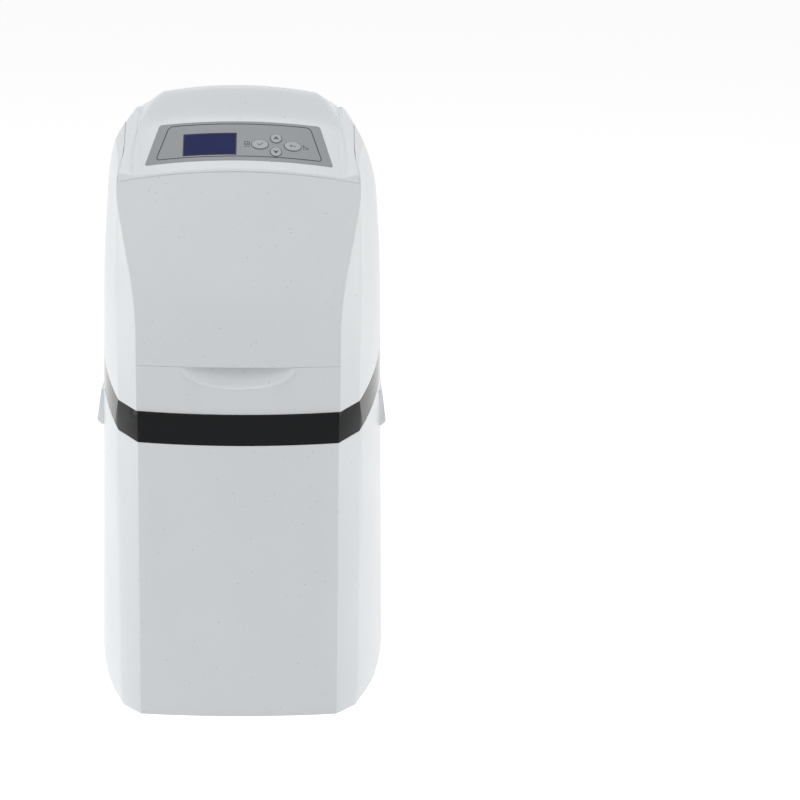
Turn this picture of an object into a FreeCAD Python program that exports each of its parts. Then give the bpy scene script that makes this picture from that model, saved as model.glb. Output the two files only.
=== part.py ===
import FreeCAD, Part
import math
import os

import Sketcher

os.makedirs("parts", exist_ok=True)
document = FreeCAD.newDocument("CabinetSoftener")
sheet = document.addObject("Spreadsheet::Sheet", "Sizes")

# Driving dimensions in millimetres and degrees. The origin is the middle of the base, +Y is the back.
SIZES = {
    # cabinet outline in plan
    "cabinet_depth": 500.0,
    "base_half_width": 160.0,
    "side_draft": 0.92,
    "front_corner_x": 105.8,
    "front_bow": 7.7,
    "chamfer_corner_x": 128.0,
    "chamfer_depth": 27.2,
    "flare_depth": 210.0,
    "rear_corner": 35.0,
    "form_low": 250.0,
    "form_height": 720.0,
    # lower tub
    "tub_wall": 4.0,
    "tub_floor": 5.0,
    "lip_wall": 3.4,
    "lip_overlap": 12.0,
    # trim band
    "band_low": 302.9,
    "band_height": 33.5,
    "band_rise": 12.4,
    "band_wall": 3.2,
    # cover
    "cover_wall": 3.0,
    "cover_setback": 1.5,
    "visor_bend_z": 415.0,
    "visor_bend_radius": 385.0,
    "visor_lean": 11.5,
    "crest_setback": 93.0,
    "crest_z": 671.0,
    "roof_fall": 8.25,
    "crown_half": 80.0,
    "crown_drop": 7.0,
    "flank_x": 106.0,
    "ledge_drop": 23.0,
    "shoulder_x": 152.0,
    "shoulder_radius": 170.0,
    "shoulder_drop": 128.0,
    "back_edge_radius": 40.0,
    # sloping panel
    "panel_setback": 29.0,
    "panel_z": 593.0,
    "panel_tilt": 42.0,
    "panel_crown": 450.0,
    "panel_half": 106.0,
    "ridge_x": 114.0,
    "ridge_rise": 2.0,
    "hump_setback": 79.0,
    "hump_foot_z": 640.0,
    "hump_lean": 72.0,
    "hump_bow": 470.0,
    "hump_half": 90.0,
    "hump_shoulder_z": 658.0,
    "hump_spread": 36.0,
    # salt lid
    "lid_low": 388.0,
    "lid_wall": 3.0,
    "lid_side_gap": 0.4,
    "lid_edge_strip": 1.0,
    "lid_arch_top": 589.5,
    "lid_arch_radius": 610.0,
    "lid_top_gap": 0.8,
    "lid_low_gap": 0.6,
    "hinge_setback": 44.0,
    "hinge_z": 566.0,
    "hinge_pin_radius": 2.0,
    "hinge_clear": 0.06,
    "hinge_boss_radius": 4.2,
    "ear_x": 109.0,
    "ear_wall": 3.0,
    "ear_radius": 4.5,
    "ear_reach": 14.0,
    "pin_overhang": 7.0,
    "lid_top_half": 126.6,
    "swing_clear": 0.5,
    "scoop_half": 59.0,
    "scoop_drop": 25.0,
    "scoop_depth": 14.0,
    "scoop_wall": 2.5,
    # hood
    "hood_half": 126.8,
    "hood_low": 578.0,
    "hood_inset": 38.0,
    "hood_gap": 0.4,
    # label, display and keys, in the panel's own frame
    "label_low": 11.0,
    "label_high": 62.8,
    "label_half_low": 98.0,
    "label_half_high": 84.0,
    "label_wall": 0.4,
    "lcd_x": -30.6,
    "lcd_s": 32.8,
    "lcd_width": 56.0,
    "lcd_height": 29.4,
    "lcd_clear": 0.2,
    "pane_clear": 0.1,
    "pane_wall": 1.6,
    "key_row_s": 32.2,
    "key_select_x": 21.7,
    "key_arrow_x": 38.3,
    "key_arrow_step": 8.9,
    "key_escape_x": 55.7,
    "key_radius": 5.6,
    "oval_long": 8.5,
    "oval_short": 5.8,
    "key_proud": 0.9,
    "key_clear": 0.15,
    "key_flange": 1.0,
    "key_flange_wall": 1.2,
    "key_flange_gap": 0.3,
    "key_travel": 0.8,
    "board_depth": 12.4,
    "board_wall": 1.6,
    "board_half": 80.0,
    "board_low_s": 17.4,
    "board_high_s": 58.0,
    "tray_half": 83.0,
    "tray_low": 17.4,
    "tray_high": 11.6,
    "tray_wall": 2.0,
    "tray_start_s": 21.8,
    # pressure vessel
    "vessel_inset": 140.0,
    "vessel_radius": 128.5,
    "vessel_low": 16.0,
    "vessel_high": 445.0,
    "vessel_wall": 4.0,
    "vessel_foot": 48.5,
    "vessel_dome": 60.0,
    "neck_radius": 40.0,
    "neck_bore": 32.0,
    "neck_height": 7.0,
    "boot_wall": 2.7,
    "boot_height": 60.0,
    "boot_clear": 0.3,
    "boot_bore": 60.0,
    "riser_radius": 13.35,
    "riser_bore": 10.6,
    "strainer_radius": 22.0,
    "strainer_high": 62.0,
    "strainer_slots": 12,
    "resin_high": 300.0,
    "resin_clear": 0.3,
    # control valve
    "barrel_z": 530.0,
    "barrel_radius": 32.0,
    "barrel_reach_front": 48.0,
    "barrel_reach_back": 76.0,
    "piston_bore": 22.0,
    "stack_reach": 38.0,
    "seal_width": 3.0,
    "spacer_width": 16.0,
    "stack_count": 5,
    "spacer_bore": 16.0,
    "piston_radius": 14.0,
    "running_clear": 0.05,
    "piston_reach": 10.0,
    "piston_length": 62.0,
    "piston_travel": 24.0,
    "rod_radius": 5.0,
    "rod_reach": 100.0,
    "port_spacing": 60.0,
    "port_z": 500.0,
    "port_radius": 16.6,
    "port_bore": 12.5,
    "port_inset": 3.0,
    "stem_radius": 36.0,
    # drive
    "gear_module": 1.0,
    "gear_teeth": 60,
    "pinion_teeth": 12,
    "gear_width": 8.0,
    "gear_reach": 72.0,
    "gear_backlash": 0.15,
    "hub_radius": 9.0,
    "bracket_reach": 82.0,
    "bracket_wall": 3.0,
    "motor_radius": 25.0,
    "motor_length": 24.0,
    "motor_shaft": 3.0,
    # flow meter
    "turbine_inset": 38.0,
    "turbine_radius": 11.4,
    "turbine_width": 10.0,
    "turbine_blades": 6,
    "axle_radius": 1.0,
    # brine side
    "well_inset": 60.0,
    "well_setback": 155.0,
    "well_radius": 38.0,
    "well_wall": 2.5,
    "well_high": 430.0,
    "well_cap_radius": 42.0,
    "draw_radius": 6.0,
    "float_radius": 26.0,
    "float_low": 300.0,
    "float_height": 34.0,
    "float_travel": 30.0,
    "float_clear": 0.08,
    "safety_radius": 14.0,
    "safety_low": 366.0,
    "safety_high": 412.0,
    "line_radius": 4.75,
    "line_bore": 3.2,
    "line_z": 400.0,
    "injector_z": 505.0,
    "injector_radius": 16.0,
    "injector_x": 60.0,
    "drain_radius": 6.5,
    "drain_grip": 25.0,
    "grid_z": 60.0,
    "grid_wall": 3.0,
    "grid_reach": 136.0,
    # fittings on the back
    "overflow_inset": 55.0,
    "overflow_z": 285.0,
    "overflow_radius": 8.0,
    "overflow_bore": 6.0,
    "overflow_spigot": 8.0,
    "overflow_reach": 13.0,
    "grip_length": 120.0,
    "grip_height": 40.0,
    "grip_proud": 5.0,
    "grip_drop": 23.0,
    "outlet_half": 88.0,
    "outlet_high": 548.0,
    "inlet_inset": 60.0,
    "inlet_z": 480.0,
    "inlet_radius": 8.0,
    "ledge_reach": 23.0,
    "ledge_wall": 2.5,
    "screw_x": 111.0,
    "screw_inset": 54.0,
    "screw_radius": 1.5,
    "screw_head": 3.4,
}


class Size:
    """A number together with the expression on the sheet that gives it."""

    def __init__(self, value, text):
        self.value = float(value)
        self.text = text

    def __add__(self, other):
        other = as_size(other)
        return Size(self.value + other.value, f"({self.text} + {other.text})")

    def __radd__(self, other):
        return as_size(other) + self

    def __sub__(self, other):
        other = as_size(other)
        return Size(self.value - other.value, f"({self.text} - {other.text})")

    def __rsub__(self, other):
        return as_size(other) - self

    def __mul__(self, other):
        other = as_size(other)
        return Size(self.value * other.value, f"({self.text} * {other.text})")

    def __rmul__(self, other):
        return as_size(other) * self

    def __truediv__(self, other):
        other = as_size(other)
        return Size(self.value / other.value, f"({self.text} / {other.text})")

    def __rtruediv__(self, other):
        return as_size(other) / self

    def __neg__(self):
        return Size(-self.value, f"(-1 * {self.text})")


def as_size(number):
    return number if isinstance(number, Size) else Size(number, f"({number:.9g})")


def cos(angle):
    return Size(math.cos(math.radians(angle.value)), f"cos({angle.text})")


def sin(angle):
    return Size(math.sin(math.radians(angle.value)), f"sin({angle.text})")


def tan(angle):
    return Size(math.tan(math.radians(angle.value)), f"tan({angle.text})")


def root(number):
    return Size(math.sqrt(number.value), f"sqrt({number.text})")


class Sheet:
    """The driving dimensions as attributes, each one a cell with an alias."""

    def __init__(self, sizes):
        for row, (name, value) in enumerate(sizes.items(), start=1):
            cell = f"A{row}"
            sheet.set(cell, str(value))
            sheet.setAlias(cell, name)
            setattr(self, name, Size(value, f"Sizes.{name}"))


S = Sheet(SIZES)
document.recompute()

FRONT = -S.cabinet_depth / 2
BACK = S.cabinet_depth / 2
# Places that follow the front, the back, the side or the vessel
CREST_Y = FRONT + S.crest_setback
PANEL_Y = FRONT + S.panel_setback
HUMP_FOOT_Y = FRONT + S.hump_setback
HINGE_Y = FRONT + S.hinge_setback
HOOD_BACK = BACK - S.hood_inset
SCREW_Y = BACK - S.screw_inset
VESSEL_Y = BACK - S.vessel_inset
BARREL_FRONT = VESSEL_Y - S.barrel_reach_front
BARREL_BACK = VESSEL_Y + S.barrel_reach_back
STACK_FRONT = VESSEL_Y - S.stack_reach
PISTON_FRONT = VESSEL_Y - S.piston_reach
ROD_FRONT = VESSEL_Y - S.rod_reach
GEAR_FRONT = VESSEL_Y - S.gear_reach
BRACKET_Y = VESSEL_Y - S.bracket_reach
PORT_BACK = BACK - S.port_inset
TURBINE_Y = BACK - S.turbine_inset
WELL_X = S.well_inset - S.base_half_width
WELL_Y = FRONT + S.well_setback
GRID_BACK = VESSEL_Y - S.grid_reach
OVERFLOW_X = S.overflow_inset - S.base_half_width
INLET_X = S.base_half_width - S.inlet_inset
ZERO = as_size(0)
FAR = as_size(400)
AXES = {"x": FreeCAD.Vector(1, 0, 0), "y": FreeCAD.Vector(0, 1, 0), "z": FreeCAD.Vector(0, 0, 1)}


# Helpers that make a feature and bind its sizes

def bind(feature, prop, size):
    size = as_size(size)
    feature.setExpression(prop, size.text)


def put(feature, x=0, y=0, z=0, turn=None, angle=0):
    """Place a feature; turn names the axis that it is rotated about."""
    if turn:
        feature.Placement = FreeCAD.Placement(FreeCAD.Vector(), FreeCAD.Rotation(AXES[turn], as_size(angle).value))
        bind(feature, "Placement.Rotation.Angle", angle)
    for name, size in (("x", x), ("y", y), ("z", z)):
        bind(feature, f"Placement.Base.{name}", size)
    return feature


def box(name, low, high):
    """A box between two corners."""
    feature = document.addObject("Part::Box", name)
    for prop, a, b in zip(("Length", "Width", "Height"), low, high):
        bind(feature, prop, as_size(b) - as_size(a))
    return put(feature, *low)


ALONG = {"x": ("y", 90), "y": ("x", -90), "z": (None, 0)}


def rod(name, radius, start, length, along="z"):
    """A cylinder from a start point in the +X, +Y or +Z direction."""
    feature = document.addObject("Part::Cylinder", name)
    bind(feature, "Radius", radius)
    bind(feature, "Height", length)
    turn, angle = ALONG[along]
    return put(feature, *start, turn=turn, angle=angle)


def cut(name, base, *tools):
    tool = tools[0] if len(tools) == 1 else fuse(name + "_tools", *tools)
    feature = document.addObject("Part::Cut", name)
    feature.Base = base
    feature.Tool = tool
    return feature


def fuse(name, *pieces):
    feature = document.addObject("Part::MultiFuse", name)
    feature.Shapes = list(pieces)
    feature.Refine = True
    return feature


def common(name, *pieces):
    feature = document.addObject("Part::MultiCommon", name)
    feature.Shapes = list(pieces)
    return feature


def group(name, *pieces):
    """Separate solids that share one node."""
    feature = document.addObject("Part::Compound", name)
    feature.Links = list(pieces)
    return feature


def tube(name, radius, bore, start, length, along="z"):
    outer = rod(name + "_outer", radius, start, length, along)
    inner = rod(name + "_bore", bore, start, length, along)
    return cut(name, outer, inner)


def plane_of(body, role):
    return [item for item in body.Origin.OriginFeatures if item.Role == role][0]


def arc_to(x, y, centre_x, centre_y, fix, clockwise=False):
    """A path step: an arc to (x, y) about a centre, whose fix coordinate is held by a constraint."""
    return {"x": as_size(x), "y": as_size(y), "centre": (as_size(centre_x), as_size(centre_y)),
            "fix": fix, "clockwise": clockwise}


def draw(body, role, path, offset=None):
    """A closed sketch on an origin plane: each path step is a point or an arc to a point."""
    sketch = body.newObject("Sketcher::SketchObject", body.Name + "_sketch")
    sketch.AttachmentSupport = [(plane_of(body, role), "")]
    sketch.MapMode = "FlatFace"
    if offset is not None:
        bind(sketch, "AttachmentOffset.Base.z", offset)
    steps = [step if isinstance(step, dict) else {"x": as_size(step[0]), "y": as_size(step[1])} for step in path]
    count = len(steps)
    for index, step in enumerate(steps):
        start = steps[index - 1]
        a = FreeCAD.Vector(start["x"].value, start["y"].value, 0)
        b = FreeCAD.Vector(step["x"].value, step["y"].value, 0)
        if "centre" not in step:
            sketch.addGeometry(Part.LineSegment(a, b), False)
            continue
        centre = FreeCAD.Vector(step["centre"][0].value, step["centre"][1].value, 0)
        first, last = (b, a) if step["clockwise"] else (a, b)
        low = math.atan2(first.y - centre.y, first.x - centre.x)
        high = math.atan2(last.y - centre.y, last.x - centre.x)
        circle = Part.Circle(centre, FreeCAD.Vector(0, 0, 1), (a - centre).Length)
        sketch.addGeometry(Part.ArcOfCircle(circle, low, high if high > low else high + 2 * math.pi), False)
    ends = []
    for step in steps:
        ends.append((2, 1) if step.get("clockwise") else (1, 2))
    for index in range(count):
        after = (index + 1) % count
        sketch.addConstraint(Sketcher.Constraint("Coincident", index, ends[index][1], after, ends[after][0]))
    for index, step in enumerate(steps):
        hold(sketch, "DistanceX", index, ends[index][1], step["x"])
        hold(sketch, "DistanceY", index, ends[index][1], step["y"])
        if "centre" in step:
            side = "xy".index(step["fix"])
            hold(sketch, "DistanceX" if side == 0 else "DistanceY", index, 3, step["centre"][side])
    return sketch


def hold(sketch, kind, geometry, point, size):
    """Fix one coordinate of a point to a size."""
    number = sketch.addConstraint(Sketcher.Constraint(kind, -1, 1, geometry, point, size.value))
    sketch.setExpression(f"Constraints[{number}]", size.text)


def pad(name, role, path, length, symmetric=True, reverse=False):
    """A body with one padded sketch."""
    body = document.addObject("PartDesign::Body", name)
    sketch = draw(body, role, path)
    feature = body.newObject("PartDesign::Pad", name + "_pad")
    feature.Profile = sketch
    feature.SideType = "Symmetric" if symmetric else "One side"
    feature.Reversed = reverse
    bind(feature, "Length", length)
    return body


def turned(name, path, x=0, y=0, z=0):
    """A body turned about the upright axis from a profile of radius and height."""
    body = document.addObject("PartDesign::Body", name)
    sketch = draw(body, "XZ_Plane", path)
    feature = body.newObject("PartDesign::Revolution", name + "_turn")
    feature.Profile = sketch
    feature.ReferenceAxis = (sketch, ["V_Axis"])
    feature.Angle = 360
    return put(body, x, y, z)


def mirrored_path(half):
    """The right half of a path, bottom to top, and its mirror image back down."""
    path = list(half)
    for index in range(len(half) - 1, -1, -1):
        step = half[index]
        after = half[index + 1] if index + 1 < len(half) else None
        x, y = (step["x"], step["y"]) if isinstance(step, dict) else (as_size(step[0]), as_size(step[1]))
        if isinstance(after, dict):
            centre = after["centre"]
            path.append(arc_to(-x, y, -centre[0], centre[1], after["fix"], after["clockwise"]))
        else:
            path.append((-x, y))
    return path


def inward(before, corner, after):
    """How far a corner of a counter-clockwise path moves in x and y for each millimetre of wall."""
    def normal(a, b):
        dx, dy = b[0] - a[0], b[1] - a[1]
        size = math.hypot(dx, dy)
        return -dy / size, dx / size
    first, second = normal(before, corner), normal(corner, after)
    share = 1 + first[0] * second[0] + first[1] * second[1]
    return (first[0] + second[0]) / share, (first[1] + second[1]) / share


# The moulded outline

def plan_path(half_width, wall):
    """Plan of the cabinet: bowed front, two chamfers, flared sides and a round-cornered back."""
    bow_y = FRONT + S.front_bow
    chamfer_y = bow_y + S.chamfer_depth
    side_y = FRONT + S.flare_depth
    run = side_y - chamfer_y
    swell = half_width - S.chamfer_corner_x
    radius = (swell * swell + run * run) / (2 * swell)
    bow_radius = (S.front_corner_x * S.front_corner_x + S.front_bow * S.front_bow) / (2 * S.front_bow)
    front = (S.front_corner_x.value, bow_y.value)
    chamfer = (S.chamfer_corner_x.value, chamfer_y.value)
    lean = math.asin(run.value / radius.value)
    tangent = (chamfer[0] + math.sin(lean) * 10, chamfer[1] + math.cos(lean) * 10)
    bow_slope = S.front_corner_x.value / bow_radius.value
    before = (front[0] - 10, front[1] - 10 * bow_slope)
    front_in = inward(before, front, chamfer)
    chamfer_in = inward(front, chamfer, tangent)
    corner = S.rear_corner - wall
    half = [
        (S.front_corner_x + front_in[0] * wall, bow_y + front_in[1] * wall),
        (S.chamfer_corner_x + chamfer_in[0] * wall, chamfer_y + chamfer_in[1] * wall),
        arc_to(half_width - wall, side_y, half_width - radius, side_y, "y"),
        (half_width - wall, BACK - S.rear_corner),
        arc_to(half_width - wall - corner, BACK - wall, half_width - S.rear_corner, BACK - S.rear_corner, "y"),
    ]
    path = mirrored_path(half)
    first = half[0]
    path[0] = arc_to(first[0], first[1], 0, FRONT + bow_radius, "y")
    return path


def cabinet_form(name, wall):
    """The whole outline as one block, drawn in by the side draft and by a wall."""
    wall = as_size(wall)
    body = document.addObject("PartDesign::Body", name)
    top_half = S.base_half_width - S.form_height * tan(S.side_draft)
    low = draw(body, "XY_Plane", plan_path(S.base_half_width, wall))
    high = draw(body, "XY_Plane", plan_path(top_half, wall), S.form_height)
    loft = body.newObject("PartDesign::AdditiveLoft", name + "_loft")
    loft.Profile = low
    loft.Sections = [high]
    loft.Ruled = True
    return body


def visor_form(name, wall):
    """Everything behind the front surface, turned about the upright axis of the front's bow."""
    wall = as_size(wall)
    bow_radius = (S.front_corner_x * S.front_corner_x + S.front_bow * S.front_bow) / (2 * S.front_bow)
    reach = bow_radius - wall
    bend = S.visor_bend_radius
    centre_r = bow_radius - bend
    end_r = centre_r + (bend - wall) * cos(S.visor_lean)
    end_z = S.visor_bend_z + (bend - wall) * sin(S.visor_lean)
    top_r = end_r - (S.form_height - end_z) * tan(S.visor_lean)
    return turned(name, [
        (0, S.form_low),
        (reach, S.form_low),
        (reach, S.visor_bend_z),
        arc_to(end_r, end_z, centre_r, S.visor_bend_z, "y"),
        (top_r, S.form_height),
        (0, S.form_height),
    ], 0, FRONT + bow_radius, 0)


def roof_form(name, wall):
    """Everything under the roof: crowned hump, flanks and rounded shoulders, falling to the back."""
    wall = as_size(wall)
    crown = (S.crown_half * S.crown_half + S.crown_drop * S.crown_drop) / (2 * S.crown_drop)
    centre_x = S.shoulder_x - S.shoulder_radius
    radius = S.shoulder_radius - wall
    rise = S.shoulder_drop - S.ledge_drop - wall
    slope = S.crown_half.value / crown.value
    crest_corner = (S.crown_half.value, -S.crown_drop.value)
    flank_foot = (S.flank_x.value, -S.ledge_drop.value)
    flank_in = inward((flank_foot[0] + 10, flank_foot[1]), flank_foot, crest_corner)
    crest_in = inward(flank_foot, crest_corner, (crest_corner[0] - 10, crest_corner[1] + 10 * slope))
    half = [
        (S.shoulder_x + 25, -FAR),
        (S.shoulder_x + 25, -S.shoulder_drop - 35),
        (S.shoulder_x - wall, -S.shoulder_drop),
        arc_to(centre_x + root(radius * radius - rise * rise), -S.ledge_drop - wall, centre_x, -S.shoulder_drop, "y"),
        (S.flank_x + flank_in[0] * wall, -S.ledge_drop - wall),
        (S.crown_half + crest_in[0] * wall, -S.crown_drop + crest_in[1] * wall),
    ]
    path = mirrored_path(half)
    last = path[len(half)]
    path[len(half)] = arc_to(last[0], last[1], 0, -crown, "y")
    body = pad(name, "XZ_Plane", path, 3 * FAR)
    return put(body, 0, CREST_Y, S.crest_z, "x", -S.roof_fall)


def back_form(name, wall):
    """Everything in front of the back wall, with the round edge where it meets the roof."""
    wall = as_size(wall)
    centre_y = BACK - S.back_edge_radius
    run = centre_y - CREST_Y + S.back_edge_radius * sin(S.roof_fall)
    centre_z = S.crest_z - run * tan(S.roof_fall) - S.back_edge_radius * cos(S.roof_fall)
    radius = S.back_edge_radius - wall
    end_y = centre_y + radius * sin(S.roof_fall)
    end_z = centre_z + radius * cos(S.roof_fall)
    return pad(name, "YZ_Plane", [
        (-FAR, S.form_low),
        (BACK - wall, S.form_low),
        (BACK - wall, centre_z),
        arc_to(end_y, end_z, centre_y, centre_z, "y"),
        (-FAR, end_z + (end_y + FAR) * tan(S.roof_fall)),
    ], 2 * FAR)


def crown_drop(x):
    """How far the crowned panel has fallen at a distance x from the middle."""
    return S.panel_crown - root(S.panel_crown * S.panel_crown - x * x)


def panel_hollow(name, wall):
    """What is taken away above the sloping panel and its two ridges."""
    wall = as_size(wall)
    floor_drop = crown_drop(S.panel_half)
    ridge = S.ridge_rise - floor_drop - wall
    half = [
        (S.panel_half, -floor_drop - wall),
        (S.ridge_x, ridge),
        (FAR, ridge),
        (FAR, FAR),
    ]
    path = mirrored_path(half)
    first = half[0]
    path[0] = arc_to(first[0], first[1], 0, -S.panel_crown - wall, "y", True)
    body = pad(name + "_trough", "XZ_Plane", path, FAR)
    put(body, 0, PANEL_Y, S.panel_z, "x", S.panel_tilt)
    reach = S.hump_bow - wall / sin(S.hump_lean)
    run = 90 / tan(S.hump_lean)
    face = turned(name + "_hump_face", [
        (0, S.hump_foot_z - 90),
        (reach + run, S.hump_foot_z - 90),
        (reach - run, S.hump_foot_z + 90),
        (0, S.hump_foot_z + 90),
    ], 0, HUMP_FOOT_Y + S.hump_bow, 0)
    spread = 60 * tan(S.hump_spread)
    half = S.hump_half - wall / cos(S.hump_spread)
    sides = pad(name + "_hump_sides", "XZ_Plane", [
        (-half - spread, S.hump_shoulder_z - 60),
        (half + spread, S.hump_shoulder_z - 60),
        (half - spread, S.hump_shoulder_z + 60),
        (spread - half, S.hump_shoulder_z + 60),
    ], 2 * FAR)
    return cut(name, body, common(name + "_hump", face, sides))


def cover_form(name, wall):
    """The cover's outside, or its inside when a wall is given."""
    wall = as_size(wall)
    block = common(
        name + "_block",
        cabinet_form(name + "_cabinet", wall),
        visor_form(name + "_visor", wall + S.cover_setback),
        roof_form(name + "_roof", wall),
        back_form(name + "_back", wall),
    )
    return cut(name, block, panel_hollow(name + "_panel", wall))


def band_slab(name, low, high):
    """The space between two planes that rise to the back as the trim band does."""
    rise = FAR * tan(S.band_rise)
    front = FRONT * tan(S.band_rise)
    return pad(name, "YZ_Plane", [
        (-FAR, low - rise - front),
        (FAR, low + rise - front),
        (FAR, high + rise - front),
        (-FAR, high - rise - front),
    ], 2 * FAR)


parts = {}


def node(name, feature):
    """Make a feature a named sub-part that is written to its own file."""
    feature.Label = name
    parts[name] = feature
    return feature


# Forms that several pieces are cut from
band_high = S.band_low + S.band_height
cabinet_outside = cabinet_form("cabinet_outside", 0)
cover_outside = cover_form("cover_outside", 0)
cover_inside = cover_form("cover_inside", S.cover_wall)
cover_shell = cut("cover_shell", cover_outside, cover_inside)


def make_brine_tank():
    """The lower tub: thin walls, a floor, an inner lip for the band, and a grip on each side."""
    wall = cut("tub_walls", cabinet_outside, cabinet_form("tub_inside", S.tub_wall))
    below = band_slab("below_band", -3 * FAR, S.band_low)
    floor = common("tub_floor_plate", cabinet_form("tub_floor_form", S.tub_wall / 2),
                   box("tub_floor_box", (-FAR, -FAR, 0), (FAR, FAR, S.tub_floor)))
    lip_form = cut("lip_form", cabinet_form("lip_outside", S.lip_wall),
                   cabinet_form("lip_inside", 2 * S.lip_wall))
    lip = common("tub_lip", lip_form, band_slab("lip_slab", S.band_low - S.lip_overlap, band_high))
    shell = common("tub_shell", wall, below)
    side_y = FRONT + S.flare_depth
    side_z = S.band_low + S.flare_depth * tan(S.band_rise) - S.grip_drop
    grips = []
    for side, sign in (("left", -1), ("right", 1)):
        outer = S.base_half_width - side_z * tan(S.side_draft) + S.grip_proud
        inner = outer - S.grip_proud - S.tub_wall
        lug = pad(f"grip_{side}", "XZ_Plane", [
            (sign * inner, side_z - S.grip_height),
            (sign * (outer - S.grip_proud), side_z - S.grip_height),
            (sign * outer, side_z - S.grip_height + S.grip_proud),
            (sign * outer, side_z - S.grip_proud),
            (sign * (outer - S.grip_proud), side_z),
            (sign * inner, side_z),
        ][::sign], S.grip_length)
        grips.append(put(lug, 0, side_y, 0))
    hole = rod("overflow_hole", S.overflow_radius + S.boot_clear, (OVERFLOW_X, BACK - 40, S.overflow_z), 60, "y")
    grip_space = cabinet_form("grip_space", S.tub_wall / 2)
    lugs = cut("grips", fuse("grip_pair", *grips), grip_space)
    node("brine_tank", cut("brine_tank_body", fuse("tub", shell, floor, lip, lugs), hole))


def make_trim_band():
    """The black band that rises to the back between tub and cover."""
    ring = cut("band_ring", cabinet_form("band_outside", 0), cabinet_form("band_inside", S.band_wall))
    node("trim_band", common("trim_band_body", ring, band_slab("band_slab", S.band_low, band_high)))


def lid_plan(name, edge, low, high):
    """The upright block that holds the lid between the front corners."""
    bow_y = FRONT + S.front_bow
    corner_x = S.front_corner_x - edge
    back_x = S.chamfer_corner_x - edge
    body = pad(name, "XY_Plane", [
        (-corner_x, FRONT - 12),
        (corner_x, FRONT - 12),
        (corner_x, bow_y),
        (back_x, bow_y + S.chamfer_depth),
        (back_x, bow_y + S.chamfer_depth + 12),
        (-back_x, bow_y + S.chamfer_depth + 12),
        (-back_x, bow_y + S.chamfer_depth),
        (-corner_x, bow_y),
    ], high - low, symmetric=False)
    return put(body, 0, 0, low)


def edge_point(back, edge):
    """Where the front surface, this far behind the front, meets the lid's side edge: across and height."""
    bow_radius = (S.front_corner_x * S.front_corner_x + S.front_bow * S.front_bow) / (2 * S.front_bow)
    slope = S.chamfer_depth / (S.chamfer_corner_x - S.front_corner_x)
    start = bow_radius - S.front_bow + slope * (S.front_corner_x - edge)
    reach = bow_radius - back
    square = 1 + slope * slope
    inner = slope * start * slope * start - square * (start * start - reach * reach)
    x = (slope * start - root(inner)) / square
    bend_back = S.cover_setback + S.visor_bend_radius * (1 - cos(S.visor_lean))
    if back.value > bend_back.value + 0.001:
        return x, S.visor_bend_z + S.visor_bend_radius * sin(S.visor_lean) + (back - bend_back) / tan(S.visor_lean)
    rise = S.visor_bend_radius + S.cover_setback - back
    return x, S.visor_bend_z + root(S.visor_bend_radius * S.visor_bend_radius - rise * rise)


def lid_outline(name, edge):
    """The lid's outline seen from the front, as a block from front to back."""
    edge = as_size(edge)
    bend_back = S.visor_bend_radius * (1 - cos(S.visor_lean))
    places = [S.cover_setback + bend_back * share * share for share in (0, 0.25, 0.5, 0.75, 1)]
    side = S.chamfer_corner_x - edge
    bow_radius = (S.front_corner_x * S.front_corner_x + S.front_bow * S.front_bow) / (2 * S.front_bow)
    run = bow_radius - S.front_bow - S.chamfer_depth
    last = bow_radius - root(run * run + side * side)
    places += [S.cover_setback + bend_back + (last - S.cover_setback - bend_back) * share for share in (0.35, 0.7, 1)]
    edges = [edge_point(place, edge) for place in places]
    half = [(edges[0][0], S.lid_low)] + edges + [(edges[-1][0], S.lid_arch_top + 20)]
    body = pad(name, "XZ_Plane", mirrored_path(half), S.front_bow + S.chamfer_depth + 24, symmetric=False, reverse=True)
    return put(body, 0, FRONT - 12, 0)


def lid_arch(name, top):
    """Everything under the arch of the lid's top edge."""
    return rod(name, S.lid_arch_radius, (0, -FAR, top - S.lid_arch_radius), 2 * FAR, "y")


def make_salt_lid():
    """The flip-up lid with an ear and a pin at each end of its hinge line."""
    skin = cut("lid_skin", visor_form("lid_outside", S.cover_setback),
               visor_form("lid_inside", S.cover_setback + S.lid_wall))
    edge = S.lid_edge_strip + S.lid_side_gap
    panel = common("lid_panel", skin, lid_outline("lid_block", edge), lid_arch("lid_arch_form", S.lid_arch_top))
    ears = []
    for side, sign in (("left", -1), ("right", 1)):
        start = sign * S.ear_x - (S.ear_wall if sign < 0 else 0)
        arm = pad(f"ear_{side}", "YZ_Plane", [
            (HINGE_Y - S.ear_reach, S.hinge_z - 2 * S.ear_reach),
            (HINGE_Y, S.hinge_z - S.ear_radius),
            (HINGE_Y, S.hinge_z + S.ear_radius),
            (HINGE_Y - S.ear_reach, S.hinge_z + S.ear_radius),
        ], S.ear_wall, symmetric=False)
        put(arm, start, 0, 0)
        eye = rod(f"ear_eye_{side}", S.ear_radius, (start, HINGE_Y, S.hinge_z), S.ear_wall, "x")
        ears += [arm, eye]
    ear_set = common("lid_ears", fuse("ear_set", *ears), visor_form("ear_limit", S.cover_setback + 1))
    blank = fuse("lid_blank", panel, ear_set)
    pins = []
    for side, sign in (("left", -1), ("right", 1)):
        length = S.ear_wall + S.pin_overhang
        near = S.ear_x if sign > 0 else -S.ear_x - length
        pins.append(rod(f"lid_pin_{side}", S.hinge_pin_radius, (near, HINGE_Y, S.hinge_z), length, "x"))
    bore = rod("lid_eye_bore", S.hinge_pin_radius, (-FAR, HINGE_Y, S.hinge_z), 2 * FAR, "x")
    node("salt_lid", cut("salt_lid_body", blank, bore))
    node("lid_hinge_pins", group("lid_hinge_pins_set", *pins))


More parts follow.
